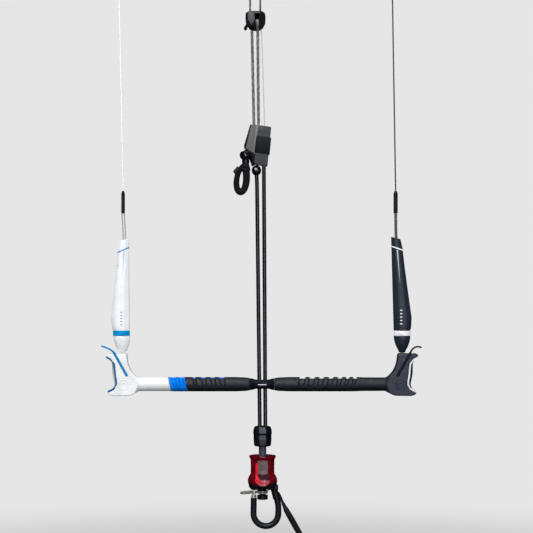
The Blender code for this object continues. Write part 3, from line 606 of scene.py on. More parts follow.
def make_lights():
    """Soft panels round the bar. The two at the sides leave no reflections."""
    target = Vector((0.0, 0.0, -0.5))
    cool, plain = (0.86, 0.92, 1.0), (1.0, 1.0, 1.0)
    panels = (
        ("Key", (-0.5, -2.4, 1.35), (1.3, 1.3), 54.0, plain, True),
        ("Front", (-0.1, -3.4, -0.35), (1.3, 2.2), 10.0, cool, True),
        ("Strip", (0.55, -2.85, -0.45), (0.3, 1.9), 8.5, cool, True),
        ("Top", (0.1, -0.4, 1.5), (1.6, 0.8), 12.0, plain, True),
        ("Left", (-2.1, -0.8, -0.3), (0.8, 1.8), 8.0, plain, False),
        ("Right", (2.1, -0.8, -0.3), (0.8, 1.8), 13.0, plain, False),
    )
    for name, spot, size, power, tint, shines in panels:
        data = bpy.data.lights.new(name, "AREA")
        data.shape = "RECTANGLE"
        data.size, data.size_y = size
        data.energy = power
        data.color = tint
        lamp = link(name, data)
        lamp.location = spot
        lamp.visible_camera = False
        lamp.visible_glossy = shines
        lamp.rotation_mode = "QUATERNION"
        lamp.rotation_quaternion = (target - Vector(spot)).to_track_quat("-Z", "Y")


def make_sky():
    """Even light grey where the camera sees it. Its light is soft, more from above than from below."""
    world = bpy.data.worlds.new("Studio")
    world.use_nodes = True
    world.cycles_visibility.glossy = False
    sky = Nodes(world.node_tree)
    seen = sky.tree.nodes["Background"]
    sky.feed(seen.inputs["Color"], (0.791, 0.791, 0.791))
    where = sky.node("ShaderNodeTexCoord").outputs["Generated"]
    height = sky.node("ShaderNodeSeparateXYZ", {"Vector": where}).outputs["Z"]
    tone = sky.node("ShaderNodeValToRGB", {"Fac": sky.ranged(height, -1.0, 1.0)})
    ramp = tone.color_ramp.elements
    ramp[0].color, ramp[1].color = (0.12, 0.12, 0.13, 1.0), (0.97, 0.99, 1.0, 1.0)
    for spot, value in ((0.38, 0.26), (0.55, 0.72)):
        ramp.new(spot).color = (value, value, value * 1.04, 1.0)
    light = sky.node("ShaderNodeBackground", {"Color": tone.outputs["Color"], "Strength": 0.6})
    mix = sky.node("ShaderNodeMixShader", {"Fac": sky.node("ShaderNodeLightPath").outputs["Is Camera Ray"]})
    sky.feed(mix.inputs[1], light.outputs["Background"])
    sky.feed(mix.inputs[2], seen.outputs["Background"])
    sky.feed(sky.tree.nodes["World Output"].inputs["Surface"], mix.outputs["Shader"])
    bpy.context.scene.world = world


# ---------------------------------------------------------------- lines and ropes

LINE_TOP_Z = -8.0
FRONT_LINE_FOOT_Z, LEADER_FOOT_Z = -48.15, -346.65
ROPE_BRAID = (11.0, 5, 0.1)  # pitch, strands and relief
CUTTER_FRONT = -20.0  # a y in front of every piece that is cut


def braided(radius, pitch, strands=4, relief=0.07):
    """The radius of a braid along its length and round it: two sets of strands that cross."""

    def size(s, a):
        wave = max(sin(strands * a + 2 * pi * s / pitch), sin(strands * a - 2 * pi * s / pitch))
        return radius * (1 - relief + relief * wave)

    return size


def free_line(name, node, knot_node, foot, top_x, diameter, body, finish):
    """One of the four lines that the kite holds taut: a braid from its foot to the knot at its upper end."""
    foot, top = Vector(foot), Vector((top_x, 0.0, LINE_TOP_Z))
    path = smooth_route([foot, (foot + top) / 2, top], 0.4 * diameter)
    line = tube(name, path, braided(diameter / 2, 2.6 * diameter), sides=20)
    place(line, body, finish, node)
    knot = line_knot(f"{name}_knot", top, diameter, knot_node)
    place(knot, body, finish, knot_node)


def line_knot(name, top, line_d, node):
    """A figure-of-eight knot: one braid wound round itself, with its end standing out at the top."""
    lowest, highest = low(node), high(node)
    height = highest.z - lowest.z
    reach = (highest.x - lowest.x) / 2
    thick = min(line_d / 2, reach * 0.42)
    route = []
    for i in range(41):
        t = i / 40
        turn = 2 * pi * 1.75 * t
        out = (reach - thick) * min(1.0, 5 * t, 5 * (1 - t) + 0.25)
        up = lowest.z + thick + (height - 2 * thick) * t
        route.append((top.x + out * cos(turn), top.y + out * sin(turn), up))
    return tube(name, smooth_route(route, 0.5 * thick), braided(thick, 5 * thick), sides=16, rounded=thick)


def make_lines():
    """The front lines and the leaders, and the ropes and the thin flag line from separator to cleat."""
    for side, x in (("left", -20.6), ("right", -3.7)):
        free_line(f"front_line_{side}_braid", f"front_line_{side}", f"front_line_knot_{side}",
                  (x, 0.0, FRONT_LINE_FOOT_Z), x, 3.4, "lines", "DarkBraid")
    for side, foot_x, top_x, diameter, finish in (("left", -231.5, -238.6, 2.0, "WhiteBraid"),
                                                  ("right", 221.0, 215.4, 2.4, "GreyBraid")):
        free_line(f"leader_{side}_braid", f"leader_line_{side}", f"leader_knot_{side}",
                  (foot_x, 0.0, LEADER_FOOT_Z), top_x, diameter, f"float_{side}", finish)
    for node, x_top, x_low in (("trim_rope_left", -17.6, -14.2), ("trim_rope_right", -8.0, -6.6)):
        top, foot = Vector((x_top, 0, high(node).z)), Vector((x_low, 0, low(node).z))
        path = smooth_route([top, (top + foot) / 2, foot], 0.8)
        made = tube(f"{node}_braid", path, braided(2.5, *ROPE_BRAID), sides=40)
        shorten(place(made, "lines", "RopeBraid", node))
    route = [(-1.8, 0.0, high("flag_line").z), (1.0, 0.0, -158.0), (3.4, 0.0, low("flag_line").z)]
    line = tube("flag_line_braid", smooth_route(route, 0.7), braided(0.8, 4.2, 3), sides=12)
    shorten(place(line, "lines", "FlagBraid", "flag_line"))


def shorten(obj):
    """Gives the piece a mesh of its own."""
    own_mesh(obj)


def make_separator():
    """The moulded stop at the top of the ropes, with a window that the right-hand rope comes out of."""
    body = solid("separator_shell", [
        (-24.6, -50.9), (-22.6, -49.4), (-1.6, -49.4), (3.6, -52.2), (5.0, -57.4), (4.7, -68.4), (0.8, -76.0),
        (-4.4, -80.6), (-17.6, -80.6), (-21.6, -78.0), (-27.4, -69.4), (-28.4, -61.0), (-27.9, -53.0)],
        -8.9, 8.9, 1.1, 0.9, 2)
    window = solid("separator_window", [(-12.2, -54.4), (-5.6, -54.4), (-5.6, -66.0), (-4.9, -84.0),
                                        (-11.2, -84.0), (-12.2, -66.0)], CUTTER_FRONT, 3.2, 0, 0.8, 3)
    lead = solid("separator_lead", [(-20.6, -75.0), (-14.2, -75.0), (-14.2, -84.0), (-20.6, -84.0)],
                 CUTTER_FRONT, -2.4, 0, 1.0)
    facet = solid("separator_facet", [(-1.0, -46.0), (14.0, -46.0), (14.0, -90.0), (-4.4, -90.0),
                                      (-0.4, -74.0)], CUTTER_FRONT, -7.4)
    place(carved(body, window, lead, facet), "lines", "SeparatorPlastic", "separator_body")
    plates = (
        # window_back is a near-black sheet without gloss: painted shade inside the window.
        ("window_back", [(-12.1, -54.6), (-5.7, -54.6), (-5.7, -79.6), (-12.1, -79.6)], 0.9, 3.1, 0.3, 0.6, 4,
         "PaintedWindowShade"),
        ("hook", [(-25.6, -66.4), (-21.0, -70.6), (-25.0, -75.6), (-26.2, -79.8), (-29.2, -80.8),
                  (-31.2, -78.2), (-30.2, -74.6), (-28.2, -72.4)], -3.6, 3.6, 0.8, 0.9, 3,
         "SeparatorPlastic"),
        ("shield", [(-24.0, -50.2), (-13.2, -50.2), (-13.2, -64.4), (-18.2, -73.4), (-24.0, -63.4)],
         -9.9, -8.2, 0.5, 0.8, 3, "SeparatorGrey"),
        ("ledge", [(-13.0, -50.0), (-3.0, -50.0), (-3.6, -53.0), (-13.0, -53.0)], -9.6, -7.0, 0.4, 0.5, 4,
         "SeparatorGrey"),
    )
    for name, outline, front, back, edge, fillet, steps, finish in plates:
        place(solid(f"separator_{name}", outline, front, back, edge, fillet, steps), "lines", finish)
    bend = smooth_route([(-7.7, 0.0, -81.6), (-7.9, -3.6, -77.0), (-8.2, -7.6, -72.4), (-8.6, -8.9, -69.0),
                         (-8.6, -6.6, -65.6), (-8.4, -0.4, -64.6)], 0.6)
    made = tube("rope_over_separator", bend, braided(2.9, *ROPE_BRAID), sides=32, rounded=1.2)
    place(made, "lines", "RopeBraid")


# ---------------------------------------------------------------- cleat, trim handle and tubes

HOUSING = ((-6.5, -238.5), (14.5, -241.6), (8.1, -306.6), (-14.1, -303.4))
TUBE_R, SOCKET_R = 3.3, 3.62
TUBE_TOPS = {-1: (-10.0, -318.6), 1: (2.2, -304.4)}
TUBE_LEAN = 0.0088  # how far the tubes hang to the left for each millimetre down
SWIVEL_Z = -755.0


def make_cleat():
    """The cleat: a tapered housing with a rubber band, the jaw, a wedge of a cover with its black liner, and
    the ball that stops the bar under them."""
    housing = solid("cleat_block", HOUSING, -11.0, 11.0, 1.6, 2.4)
    seams = [solid("cleat_seam", outline, CUTTER_FRONT, -10.6) for outline in (
        [(-12.0, -248.6), (18.0, -253.1), (18.0, -253.9), (-12.0, -249.4)],
        [(-18.0, -296.3), (14.0, -301.0), (14.0, -301.8), (-18.0, -297.1)])]
    place(carved(housing, *seams), "cleat", "HousingPlastic", "cleat_housing")
    make_band()
    jaw = solid("cleat_jaw_arm", [(-28.4, -275.2), (-12.8, -284.4), (-12.0, -287.0), (-13.2, -305.0),
                                  (-18.6, -306.0), (-17.4, -290.6), (-28.4, -279.4)], -7.0, 7.0, 0.5, 0.8, 3)
    place(jaw, "cleat", "JawPlastic", "cleat_jaw")
    cover = solid("cover_wedge", [(-18.6, -237.6), (-5.9, -238.6), (-12.0, -287.0), (-29.4, -275.4)],
                  -9.4, 9.4, 1.1, 1.3)
    groove = solid("cover_groove", [(-11.4, -236.0), (-10.9, -236.0), (-17.0, -288.0), (-17.5, -288.0)],
                   CUTTER_FRONT, -8.9)
    place(carved(cover, groove), "cleat", "CoverPlastic", "cleat_cover")
    chamfer = solid("cover_chamfer", [(-10.4, -239.2), (-7.0, -239.6), (-12.7, -284.6), (-16.0, -283.0)],
                    -9.95, -8.4, 0.45, 0.6)
    place(chamfer, "cleat", "CoverEdge")
    liner = solid("cover_liner", [(-20.4, -237.6), (-18.0, -237.4), (-28.6, -274.6), (-27.6, -277.4),
                                  (-30.2, -276.6), (-31.0, -273.6)], -9.7, 9.7, 0.5, 0.6, 3)
    place(liner, "cleat", "JawPlastic")
    middle = (low("stopper_ball") + high("stopper_ball")) / 2
    full = 1.1 * (high("stopper_ball").x - low("stopper_ball").x) / 2
    profile = [(full * cos(a), middle.z + full * sin(a)) for a in map(radians, (72, 38, 4, -30, -64))]
    ball = faceted("stopper_ball_facets", profile, (middle.x, middle.y), 8, 0.45)
    place(ball, "cleat", "GlossBlack", "stopper_ball")


def make_band():
    """The rubber band stands out from the housing all round, with upright ribs on its front and back."""
    top_left, top_right, low_right, low_left = (Vector(c) for c in HOUSING)
    ribs, steps = 9, 90
    # Each level is how far down the housing it lies, as a part of its height, and how far it stands out.
    levels = ((0.275, 0.2), (0.27, 0.9), (0.29, 1.7), (0.48, 1.7), (0.68, 1.7), (0.70, 0.9), (0.695, 0.2))
    rings = []
    for height, out in levels:
        left, right = top_left.lerp(low_left, height), top_right.lerp(low_right, height)
        ahead = (right - left).normalized()
        left, right = left - ahead * out, right + ahead * out
        ring = []
        for side in SIDES:
            for i in range(steps + 1):
                t = i / steps if side < 0 else 1 - i / steps
                inside = min(1.0, 10 * t, 10 * (1 - t))
                rib = 0.28 * (0.5 - 0.5 * cos(2 * pi * ribs * t)) * inside if out > 1.5 else 0.0
                spot = left.lerp(right, t)
                soft = 1.0 - 0.1 * (1 - min(1.0, 14 * min(t, 1 - t)))
                ring.append((spot.x, side * (11.1 + out - rib) * soft, spot.y))
        rings.append(ring)
    place(skin("cleat_band_ribbed", rings), "cleat", "BandRubber", "cleat_band")


def boxy(half_side, half_other, corner):
    """The radius of a rounded rectangle: half_side is its reach along the tube's side vector."""

    def size(s, a):
        return (abs(cos(a) / half_side) ** corner + abs(sin(a) / half_other) ** corner) ** (-1 / corner)

    return size


def make_trim_handle():
    """The knob on the trim rope's tail and the padded webbing loop that hangs from it, with its sewn tip."""
    axis = pivot("handle_swing").xy
    neck = [(2.3, -279.4), (2.3, -281.6), (3.8, -282.2)]
    head = [(4.0, -281.0), (8.7, -283.0), (10.2, -286.4), (10.0, -290.6), (8.4, -293.8), (6.2, -295.6)]
    stem = [(5.6, -294.4), (6.2, -297.5), (6.0, -301.5), (5.2, -304.6)]
    knob = joined("trim_knob_facets", [turned("neck", neck, axis, 24), faceted("head", head, axis, 9, 0.5),
                                       turned("stem", stem, axis, 32)])
    place(knob, "trim_handle", "GlossBlack", "trim_knob")

    loop = [(-29.0, -8.0, -303.0), (-27.4, -8.0, -312.0), (-26.6, -8.0, -322.0), (-27.2, -8.0, -334.0),
            (-30.4, -8.0, -344.6), (-36.2, -8.0, -349.6), (-41.4, -8.0, -345.4), (-43.2, -8.0, -336.0),
            (-42.4, -8.0, -326.0), (-39.4, -8.0, -316.0), (-34.2, -8.0, -308.6), (-30.0, -8.0, -304.6)]
    length = 112.0

    def strap_size(s, a):
        return boxy(6.6, 5.2 + 0.9 * cos(pi * s / length), 3.4)(s, a)

    web = tube("loop", smooth_route(loop, 1.2), strap_size, sides=32, rounded=2.0)
    wrap = solid("wrap", [(-34.6, -302.8), (-22.2, -302.8), (-19.8, -312.0), (-21.6, -315.4), (-33.4, -314.6),
                          (-37.4, -308.6)], -14.6, -1.4, 2.0, 2.4, segments=4)
    place(moulded("handle_strap_web", [web, wrap], 0.6, 4), "trim_handle", "Webbing", "handle_strap")
    stitches = []
    for x_from, z, x_to in ((-30.6, -305.4, -23.6), (-32.2, -311.8, -22.6)):
        for i in range(5):
            x = x_from + (x_to - x_from) * (i + 0.5) / 5
            path = [Vector((x - 0.6, -14.55, z)), Vector((x, -14.85, z)), Vector((x + 0.6, -14.55, z))]
            stitches.append(tube("stitch", path, 0.3, sides=8))
    place(joined("handle_stitches", stitches), "trim_handle", "Thread")
    tip = solid("strap_tip_tab", [(-44.2, -322.4), (-36.2, -311.6), (-41.2, -306.4), (-49.0, -315.4)],
                -13.6, -2.4, 1.0, 1.4)
    place(tip, "trim_handle", "TipWebbing")


def tube_route(side):
    """A depower tube's route, from the stopper ball or the housing to its socket in the swivel barrel."""
    x, z = TUBE_TOPS[side]
    rows = [Vector((x, 0, z))]
    for z in (-340.0, -400.0, -500.0, -668.0, -746.0):
        rise = z - BAR_Z
        rows.append(Vector((BAR_X - TUBE_LEAN * rise + side * (4.8 + 0.0029 * rise), 0, z)))
    return rows


def make_tubes_and_barrel():
    """The two depower tubes and the turned barrel under them, flat on its front and back, with its washer."""

    def flats(a, z):
        face = 0.925 if -769.0 < z < -739.0 else 0.96
        return min(1.0, face / max(0.1, abs(sin(a))))

    sockets = []
    for side, name in SIDES.items():
        made = tube(f"depower_tube_{name}_sheath", smooth_route(tube_route(side), 4.0), TUBE_R, sides=40)
        place(made, "cleat", "DepowerTube", f"depower_tube_{name}")
        *_, above, foot = tube_route(side)
        route = smooth_route([above, foot, foot - Vector((0, 0, 0.4))], 8.0)
        sockets.append(tube("barrel_socket", route, SOCKET_R, sides=40))
    profile = [(11.4, -737.6), (13.5, -738.6), (15.0, -743.0), (15.5, -747.6), (15.4, -750.2), (14.9, -750.9),
               (14.9, -759.6), (14.3, -767.4), (13.4, -770.3), (11.9, -770.7), (7.1, -770.7), (7.1, -764.0),
               (10.4, -764.0), (10.4, SWIVEL_Z), (1.2, SWIVEL_Z), (1.2, -737.6)]
    profile = finer(profile, lambda p, q: 6 if abs(q[1] - p[1]) > 5 and p[0] > 12 else 1)
    barrel = turned("barrel_shell", profile, sides=120, closed=True, wobble=flats)
    place(carved(barrel, *sockets), "cleat", "BarrelPlastic", "swivel_barrel")
    washer = [(7.2, -760.9), (9.8, -760.9), (9.8, -763.5), (7.2, -763.5)]
    made = turned("washer_ring", washer, sides=64, closed=True, fillet=0.3)
    place(made, "cleat", "Brass", "thrust_washer")


# ---------------------------------------------------------------- floats

FLOAT_WHITE, FLOAT_NAVY = (0.85, 0.862, 0.875), (0.013, 0.019, 0.032)
FLOAT_TOP_Z, FOAM_END_Z = -430.0, -578.6
FLOAT_RISE = {"left": 1.6, "right": 4.8}  # how far the foam's slanted top stands above FLOAT_TOP_Z
FLOAT_INNER_X = {"left": (-221.7, -220.4), "right": (213.6, 217.6)}
FLOAT_EXIT_X = {"left": -229.4, "right": 222.0}
# The foam's width at each part of the way down it, and half its depth.
FLOAT_WIDTHS = ((0.0, 15.6), (0.1, 18.8), (0.3, 21.4), (0.55, 25.4), (0.86, 30.6), (0.97, 29.2), (1.0, 28.0))
FLOAT_HALF_DEPTH = 12.5
BORE_R = 2.6
# The cone's half width at each height: the left one is a bowl, the right one runs in to a thin neck.
CONES = {
    "left": ((-594.0, 13.4), (-601.0, 11.9), (-607.0, 9.7), (-611.2, 7.5), (-613.8, 5.2), (-615.0, 3.1)),
    "right": ((-592.0, 13.6), (-598.0, 12.3), (-604.0, 10.3), (-609.0, 7.8), (-611.0, 6.6), (-612.0, 6.4))}
PIGTAIL_TOP = {"left": (-231.5, -384.95), "right": (221.0, -384.95)}
FLOAT_LOOKS = {
    "left": {"foam": "WhiteFoam", "band": "BlueBand", "cone": "WhiteCone", "pigtail": "PigtailPale"},
    "right": {"foam": "NavyFoam", "band": "WhiteBand", "cone": "NavyCone", "pigtail": "PigtailDark"}}


def float_section(side, z, width, depth, lean=0.0):
    """A flat front and back, sloping shoulders and soft edges, in half widths turned to millimetres."""
    t = (z - FLOAT_TOP_Z) / (FOAM_END_Z - FLOAT_TOP_Z)
    top_x, end_x = FLOAT_INNER_X[SIDES[side]]
    middle = top_x + t * (end_x - top_x) + side * width / 2
    corners = [(1.0, 0.32), (0.5, 1.0), (-0.38, 1.0), (-1.0, 0.3), (-1.0, -0.3), (-0.38, -1.0), (0.5, -1.0),
               (1.0, -0.32)]
    line = filleted(corners, 0.26, steps=5)
    return [(middle + side * px * width / 2, py * depth, z + lean * side * px * width / 2) for px, py in line]


def bore_ring(side, z, count, lean=0.0):
    """The bore for the pigtail, as a ring that starts at about the same angle as float_section."""
    foot = pivot(f"float_{SIDES[side]}_swing")
    t = (z - foot.z) / (FLOAT_TOP_Z - foot.z)
    x = foot.x + t * (FLOAT_EXIT_X[SIDES[side]] - foot.x)
    return [(x + side * BORE_R * cos(a), BORE_R * sin(a), z + lean * side * BORE_R * cos(a))
            for a in angles(count, 2.6)]


def mark_mask(finish, marks):
    """A mask of straight marks on the front and back: each is (x0, z0, x1, z1, half width at each end)."""
    total = None
    x, z = finish.coordinate("X"), finish.coordinate("Z")

    def dot(a, b, c, d):
        return finish.math("ADD", finish.math("MULTIPLY", a, b), finish.math("MULTIPLY", c, d))

    for x0, z0, x1, z1, half_0, half_1 in marks:
        dx, dz = (x1 - x0) * MM, (z1 - z0) * MM
        squared = dx * dx + dz * dz
        px = finish.math("SUBTRACT", x, x0 * MM)
        pz = finish.math("SUBTRACT", z, z0 * MM)
        t = finish.ranged(dot(px, dx / squared, pz, dz / squared), 0.0, 1.0)
        off_x = finish.math("SUBTRACT", px, finish.math("MULTIPLY", t, dx))
        off_z = finish.math("SUBTRACT", pz, finish.math("MULTIPLY", t, dz))
        away = finish.math("SQRT", dot(off_x, off_x, off_z, off_z))
        width = finish.ranged(t, 0.0, 1.0, half_0 * MM, half_1 * MM)
        inside = finish.ranged(finish.math("SUBTRACT", width, away), -0.0001, 0.0001)
        total = inside if total is None else finish.math("MAXIMUM", total, inside)
    return total


def printed_foam(name, slot, color, roughness, ink, marks, pale, pale_mark):
    """Foam with marks printed over its own colour, and one paler stroke over them."""
    made = foam(name, slot, color, roughness)
    under = made.shader["Base Color"].links[0].from_socket
    inked = made.mixed(mark_mask(made, marks), under, ink)
    made.paint(made.mixed(mark_mask(made, [pale_mark]), inked, pale))


def make_printed_foams():
    dashes = [(-234.6, z, -232.6, z, 0.7, 0.7) for z in (-548.3, -553.4, -558.6, -563.7, -569.0)]
    printed_foam("WhiteFoam", "white_foam", FLOAT_WHITE, 0.5, (0.0, 0.205, 0.52),
                 [(-239.8, -449.4, -220.6, -440.6, 0.95, 0.95), *dashes], (0.28, 0.55, 0.78),
                 (-229.4, -447.6, -231.4, -486.0, 1.15, 0.1))
    dashes = [(228.2, z, 230.4, z, 0.8, 0.8) for z in (-545.0, -550.6, -556.2, -561.8, -567.4)]
    printed_foam("NavyFoam", "navy_foam", FLOAT_NAVY, 0.46, (0.86, 0.87, 0.88),
                 [(213.0, -438.8, 234.4, -446.2, 1.0, 1.0), *dashes], (0.42, 0.44, 0.47),
                 (223.2, -446.0, 227.6, -500.0, 1.25, 0.1))


def make_float(side):
    """A float: slanted top, printed foam body, band and cone, with the pigtail through it."""
    name = SIDES[side]
    body, rise, looks = f"float_{name}", FLOAT_RISE[name], FLOAT_LOOKS[name]
    slant = -side * 0.22
    rings = [float_section(side, FLOAT_TOP_Z + rise + 0.1, 13.6, FLOAT_HALF_DEPTH * 0.54, slant),
             float_section(side, FLOAT_TOP_Z + rise - 0.25, 15.0, FLOAT_HALF_DEPTH * 0.6, slant)]
    for i in range(37):
        t = (i + 0.6) / 36.6
        z = FLOAT_TOP_Z + t * (FOAM_END_Z - FLOAT_TOP_Z) + rise * max(0.0, 1 - 7 * t)
        lean = slant * max(0.0, 1 - t * 9)
        shrink = 0.3 * max(0.0, (t - 0.985) / 0.015)
        depth = FLOAT_HALF_DEPTH * (0.62 + 0.38 * min(1.0, t / 0.86)) - shrink
        rings.append(float_section(side, z, reading(FLOAT_WIDTHS, t) - 2 * shrink, depth, lean))
    count = len(rings[0])
    rings += [bore_ring(side, FOAM_END_Z, count), bore_ring(side, FLOAT_TOP_Z + rise, count, slant)]
    foam_body = skin(f"{body}_foam", rings, closed=True, smooth_angle=50)
    notch_reach = 19.6  # from the foam's inner edge
    edge_x = FLOAT_INNER_X[name][0] + side * notch_reach
    inner, outer = edge_x - side * 3.0, edge_x + side * 6
    notch = solid("notch", [(inner, -470.4), (outer, -471.3), (outer, -472.9), (inner, -471.0)],
                  CUTTER_FRONT, -1.5)
    place(carved(foam_body, notch), body, looks["foam"], body)

    band_top, band_end = FOAM_END_Z - 0.35, -587.4
    rings = []
    for z, grow in ((band_top, -0.5), (band_top - 0.4, 0.0), (band_end + 0.4, 0.0), (band_end, -0.5)):
        rings.append(float_section(side, z, 28.0 + 2 * grow, FLOAT_HALF_DEPTH + grow))
    rings += [bore_ring(side, band_end, count), bore_ring(side, band_top, count)]
    band = skin(f"{body}_band", rings, closed=True, smooth_angle=50)
    place(band, body, looks["band"], f"float_band_{name}")
    make_cone(side, name, band_end - 0.35, looks["cone"])
    make_pigtail(name, looks["pigtail"])


def make_cone(side, name, top_z, finish):
    """The cone under the band runs in to a round foot that sits on the bar end."""
    body, foot = f"float_{name}", pivot(f"float_{name}_swing")
    width = 27.6
    widest = width / 2
    rings = [float_section(side, top_z, width - 0.8, FLOAT_HALF_DEPTH - 0.4),
             float_section(side, top_z - 0.5, width, FLOAT_HALF_DEPTH)]
    start = float_section(side, top_z, width, FLOAT_HALF_DEPTH)
    middle = sum(p[0] for p in start) / len(start)
    turns = [atan2(p[1], side * (p[0] - middle)) for p in start]
    levels = smooth_route([(top_z - 0.6, widest, 0.0), *((z, half, 0.0) for z, half in CONES[name])], 1.6)
    for z, half, _ in levels[1:]:
        centre = middle + (z - top_z) / (foot.z - top_z) * (foot.x - middle)
        size, blend = half / widest, min(1.0, (widest - half) / 5.0)
        rings.append([(centre + (p[0] - middle) * size * (1 - blend) + side * half * cos(a) * blend,
                       p[1] * size * (1 - blend) + half * sin(a) * blend, z) for p, a in zip(start, turns)])
    rings += [bore_ring(side, z, len(start)) for z in (levels[-1].x, top_z)]
    cone = skin(f"{body}_cone", rings, closed=True, smooth_angle=50)
    place(cone, body, finish, f"float_cone_{name}")
    if side > 0:
        ring = [(2.7, -612.2), (5.3, -612.2), (5.8, -612.6), (5.8, -614.5), (4.7, -615.1), (3.4, -615.6),
                (2.7, -615.8)]
        place(turned(f"{body}_neck_ring", ring, foot.xy, 64, closed=True), body, "SleeveRubber")


def make_pigtail(name, finish):
    """The pigtail through the float and the heat-shrunk sleeve where the leader line is looped on."""
    body, foot = f"float_{name}", pivot(f"float_{name}_swing")
    top_x, top_z = PIGTAIL_TOP[name]
    exit_x, bend_z = FLOAT_EXIT_X[name], -520.0
    bore_x = foot.x + (bend_z - foot.z) / (FLOAT_TOP_Z - foot.z) * (exit_x - foot.x)
    route = [(top_x, 0, top_z), (exit_x, 0, FLOAT_TOP_Z), (bore_x, 0, bend_z), tuple(foot)]
    offsets, r, sleeve_r = {"left": ((-1.9, 1.9), 1.05, 3.2), "right": ((0.0,), 2.5, 3.7)}[name]
    strands = []
    for offset in offsets:
        moved = [(x + offset, y, z) for x, y, z in route]
        strands.append(tube("strand", smooth_route(moved, 1.0), braided(r, 5.2 * r, 4, 0.08), sides=18))
    place(joined(f"pigtail_{name}_braid", strands), body, finish, f"pigtail_{name}")
    top_z, end_z, count = -347.0, -384.6, 30
    profile = [(1.3, top_z), (sleeve_r * 0.55, top_z - 0.6), (sleeve_r * 0.9, top_z - 4.0),
               (sleeve_r, top_z - 7.0)]
    for i in range(count + 1):
        t = i / count
        ring = 0.1 * sin(2 * pi * t * 9)
        profile.append((sleeve_r + ring - 0.15, top_z - 7.5 - (top_z - 8.3 - end_z) * t))
    profile.append((sleeve_r * 0.8, end_z))
    made = turned(f"line_sleeve_{name}_shrunk", profile, (top_x, 0), 40)
    place(made, body, "SleeveRubber", f"line_sleeve_{name}")


def make_floats():
    make_printed_foams()
    for side in SIDES:
        make_float(side)


# ---------------------------------------------------------------- bar

BAR_X = -0.5
BAR_Z = -668.0
GRIP_SLANT = 0.23  # how far the grip's pattern moves outwards for each millimetre up
# Along the grips, measured from the bar's middle.
GRIP_START, BLUE_START, WHITE_START, GRIP_END = 20.15, 125.6, 152.8, 204.15
# The slots along the grips' tops: (distance from the middle, width).
LEFT_SLOTS = ((64.6, 6.5), (79.9, 5.5), (95.2, 5.5), (110.5, 3.7))
RIGHT_SLOTS = ((64.6, 7.8), (80.6, 7.2), (95.9, 6.5), (111.6, 5.9), (126.4, 5.5), (139.3, 4.2), (151.3, 4.0))
BAND_SLOTS = ((132.6, 5.0), (145.0, 5.0))


def round_bar(name, side, line, radius_at=None, sides=96, closed=True, lean=None):
    """A turned piece on the bar's axis. line holds (distance from the middle, radius). radius_at(u, r, angle)
    cuts into it, and lean(u) slants its rings."""
    rings = []
    for u, r in line:
        slant = lean(u) if lean else 0.0
        ring = []
        for a in angles(sides):
            size = radius_at(u, r, a) if radius_at else r
            ring.append((BAR_X + side * (u + slant * size * cos(a)), -size * sin(a), BAR_Z + size * cos(a)))
        rings.append(ring)
    return skin(name, rings, closed)


def slotted(slots, depth, crease_depth):
    """Flat slots across the grip's top. Each runs down the front and back as two creases that meet in a U."""

    def size(u, r, a):
        up = cos(a)
        if r < 10.0 or up < -0.45:
            return r
        cut = 0.0
        for middle, width in slots:
            away = abs(u - middle)
            if away > width:
                continue
            fade = clamp((up - 0.85) / 0.07)
            half = 0.62 * width * (1 - max(0.0, (0.3 - up) / 0.7) ** 2) ** 0.5 if up > -0.4 else 0.0
            crease = exp(-((away - half) / 0.75) ** 2) * clamp((up + 0.42) / 0.25) * (1 - 0.5 * fade)
            cut = max(cut, depth * fade * clamp((width / 2 + 0.35 - away) / 0.7), crease_depth * crease)
        return r - cut

    return size


def with_bore(outer, bore=8.3, step=0.62):
    """A closed profile: the outer line with many points, then back along the bore."""
    (start, start_r), (end, end_r) = outer[0], outer[-1]
    made = [(start, start_r - 0.5), *finer(outer, lambda p, q: max(1, round((q[0] - p[0]) / step)))[:-1]]
    made[1] = (start + 0.25, start_r)
    return [*made, (end - 0.25, end_r), (end, end_r - 0.5), (end, bore), (start, bore)]


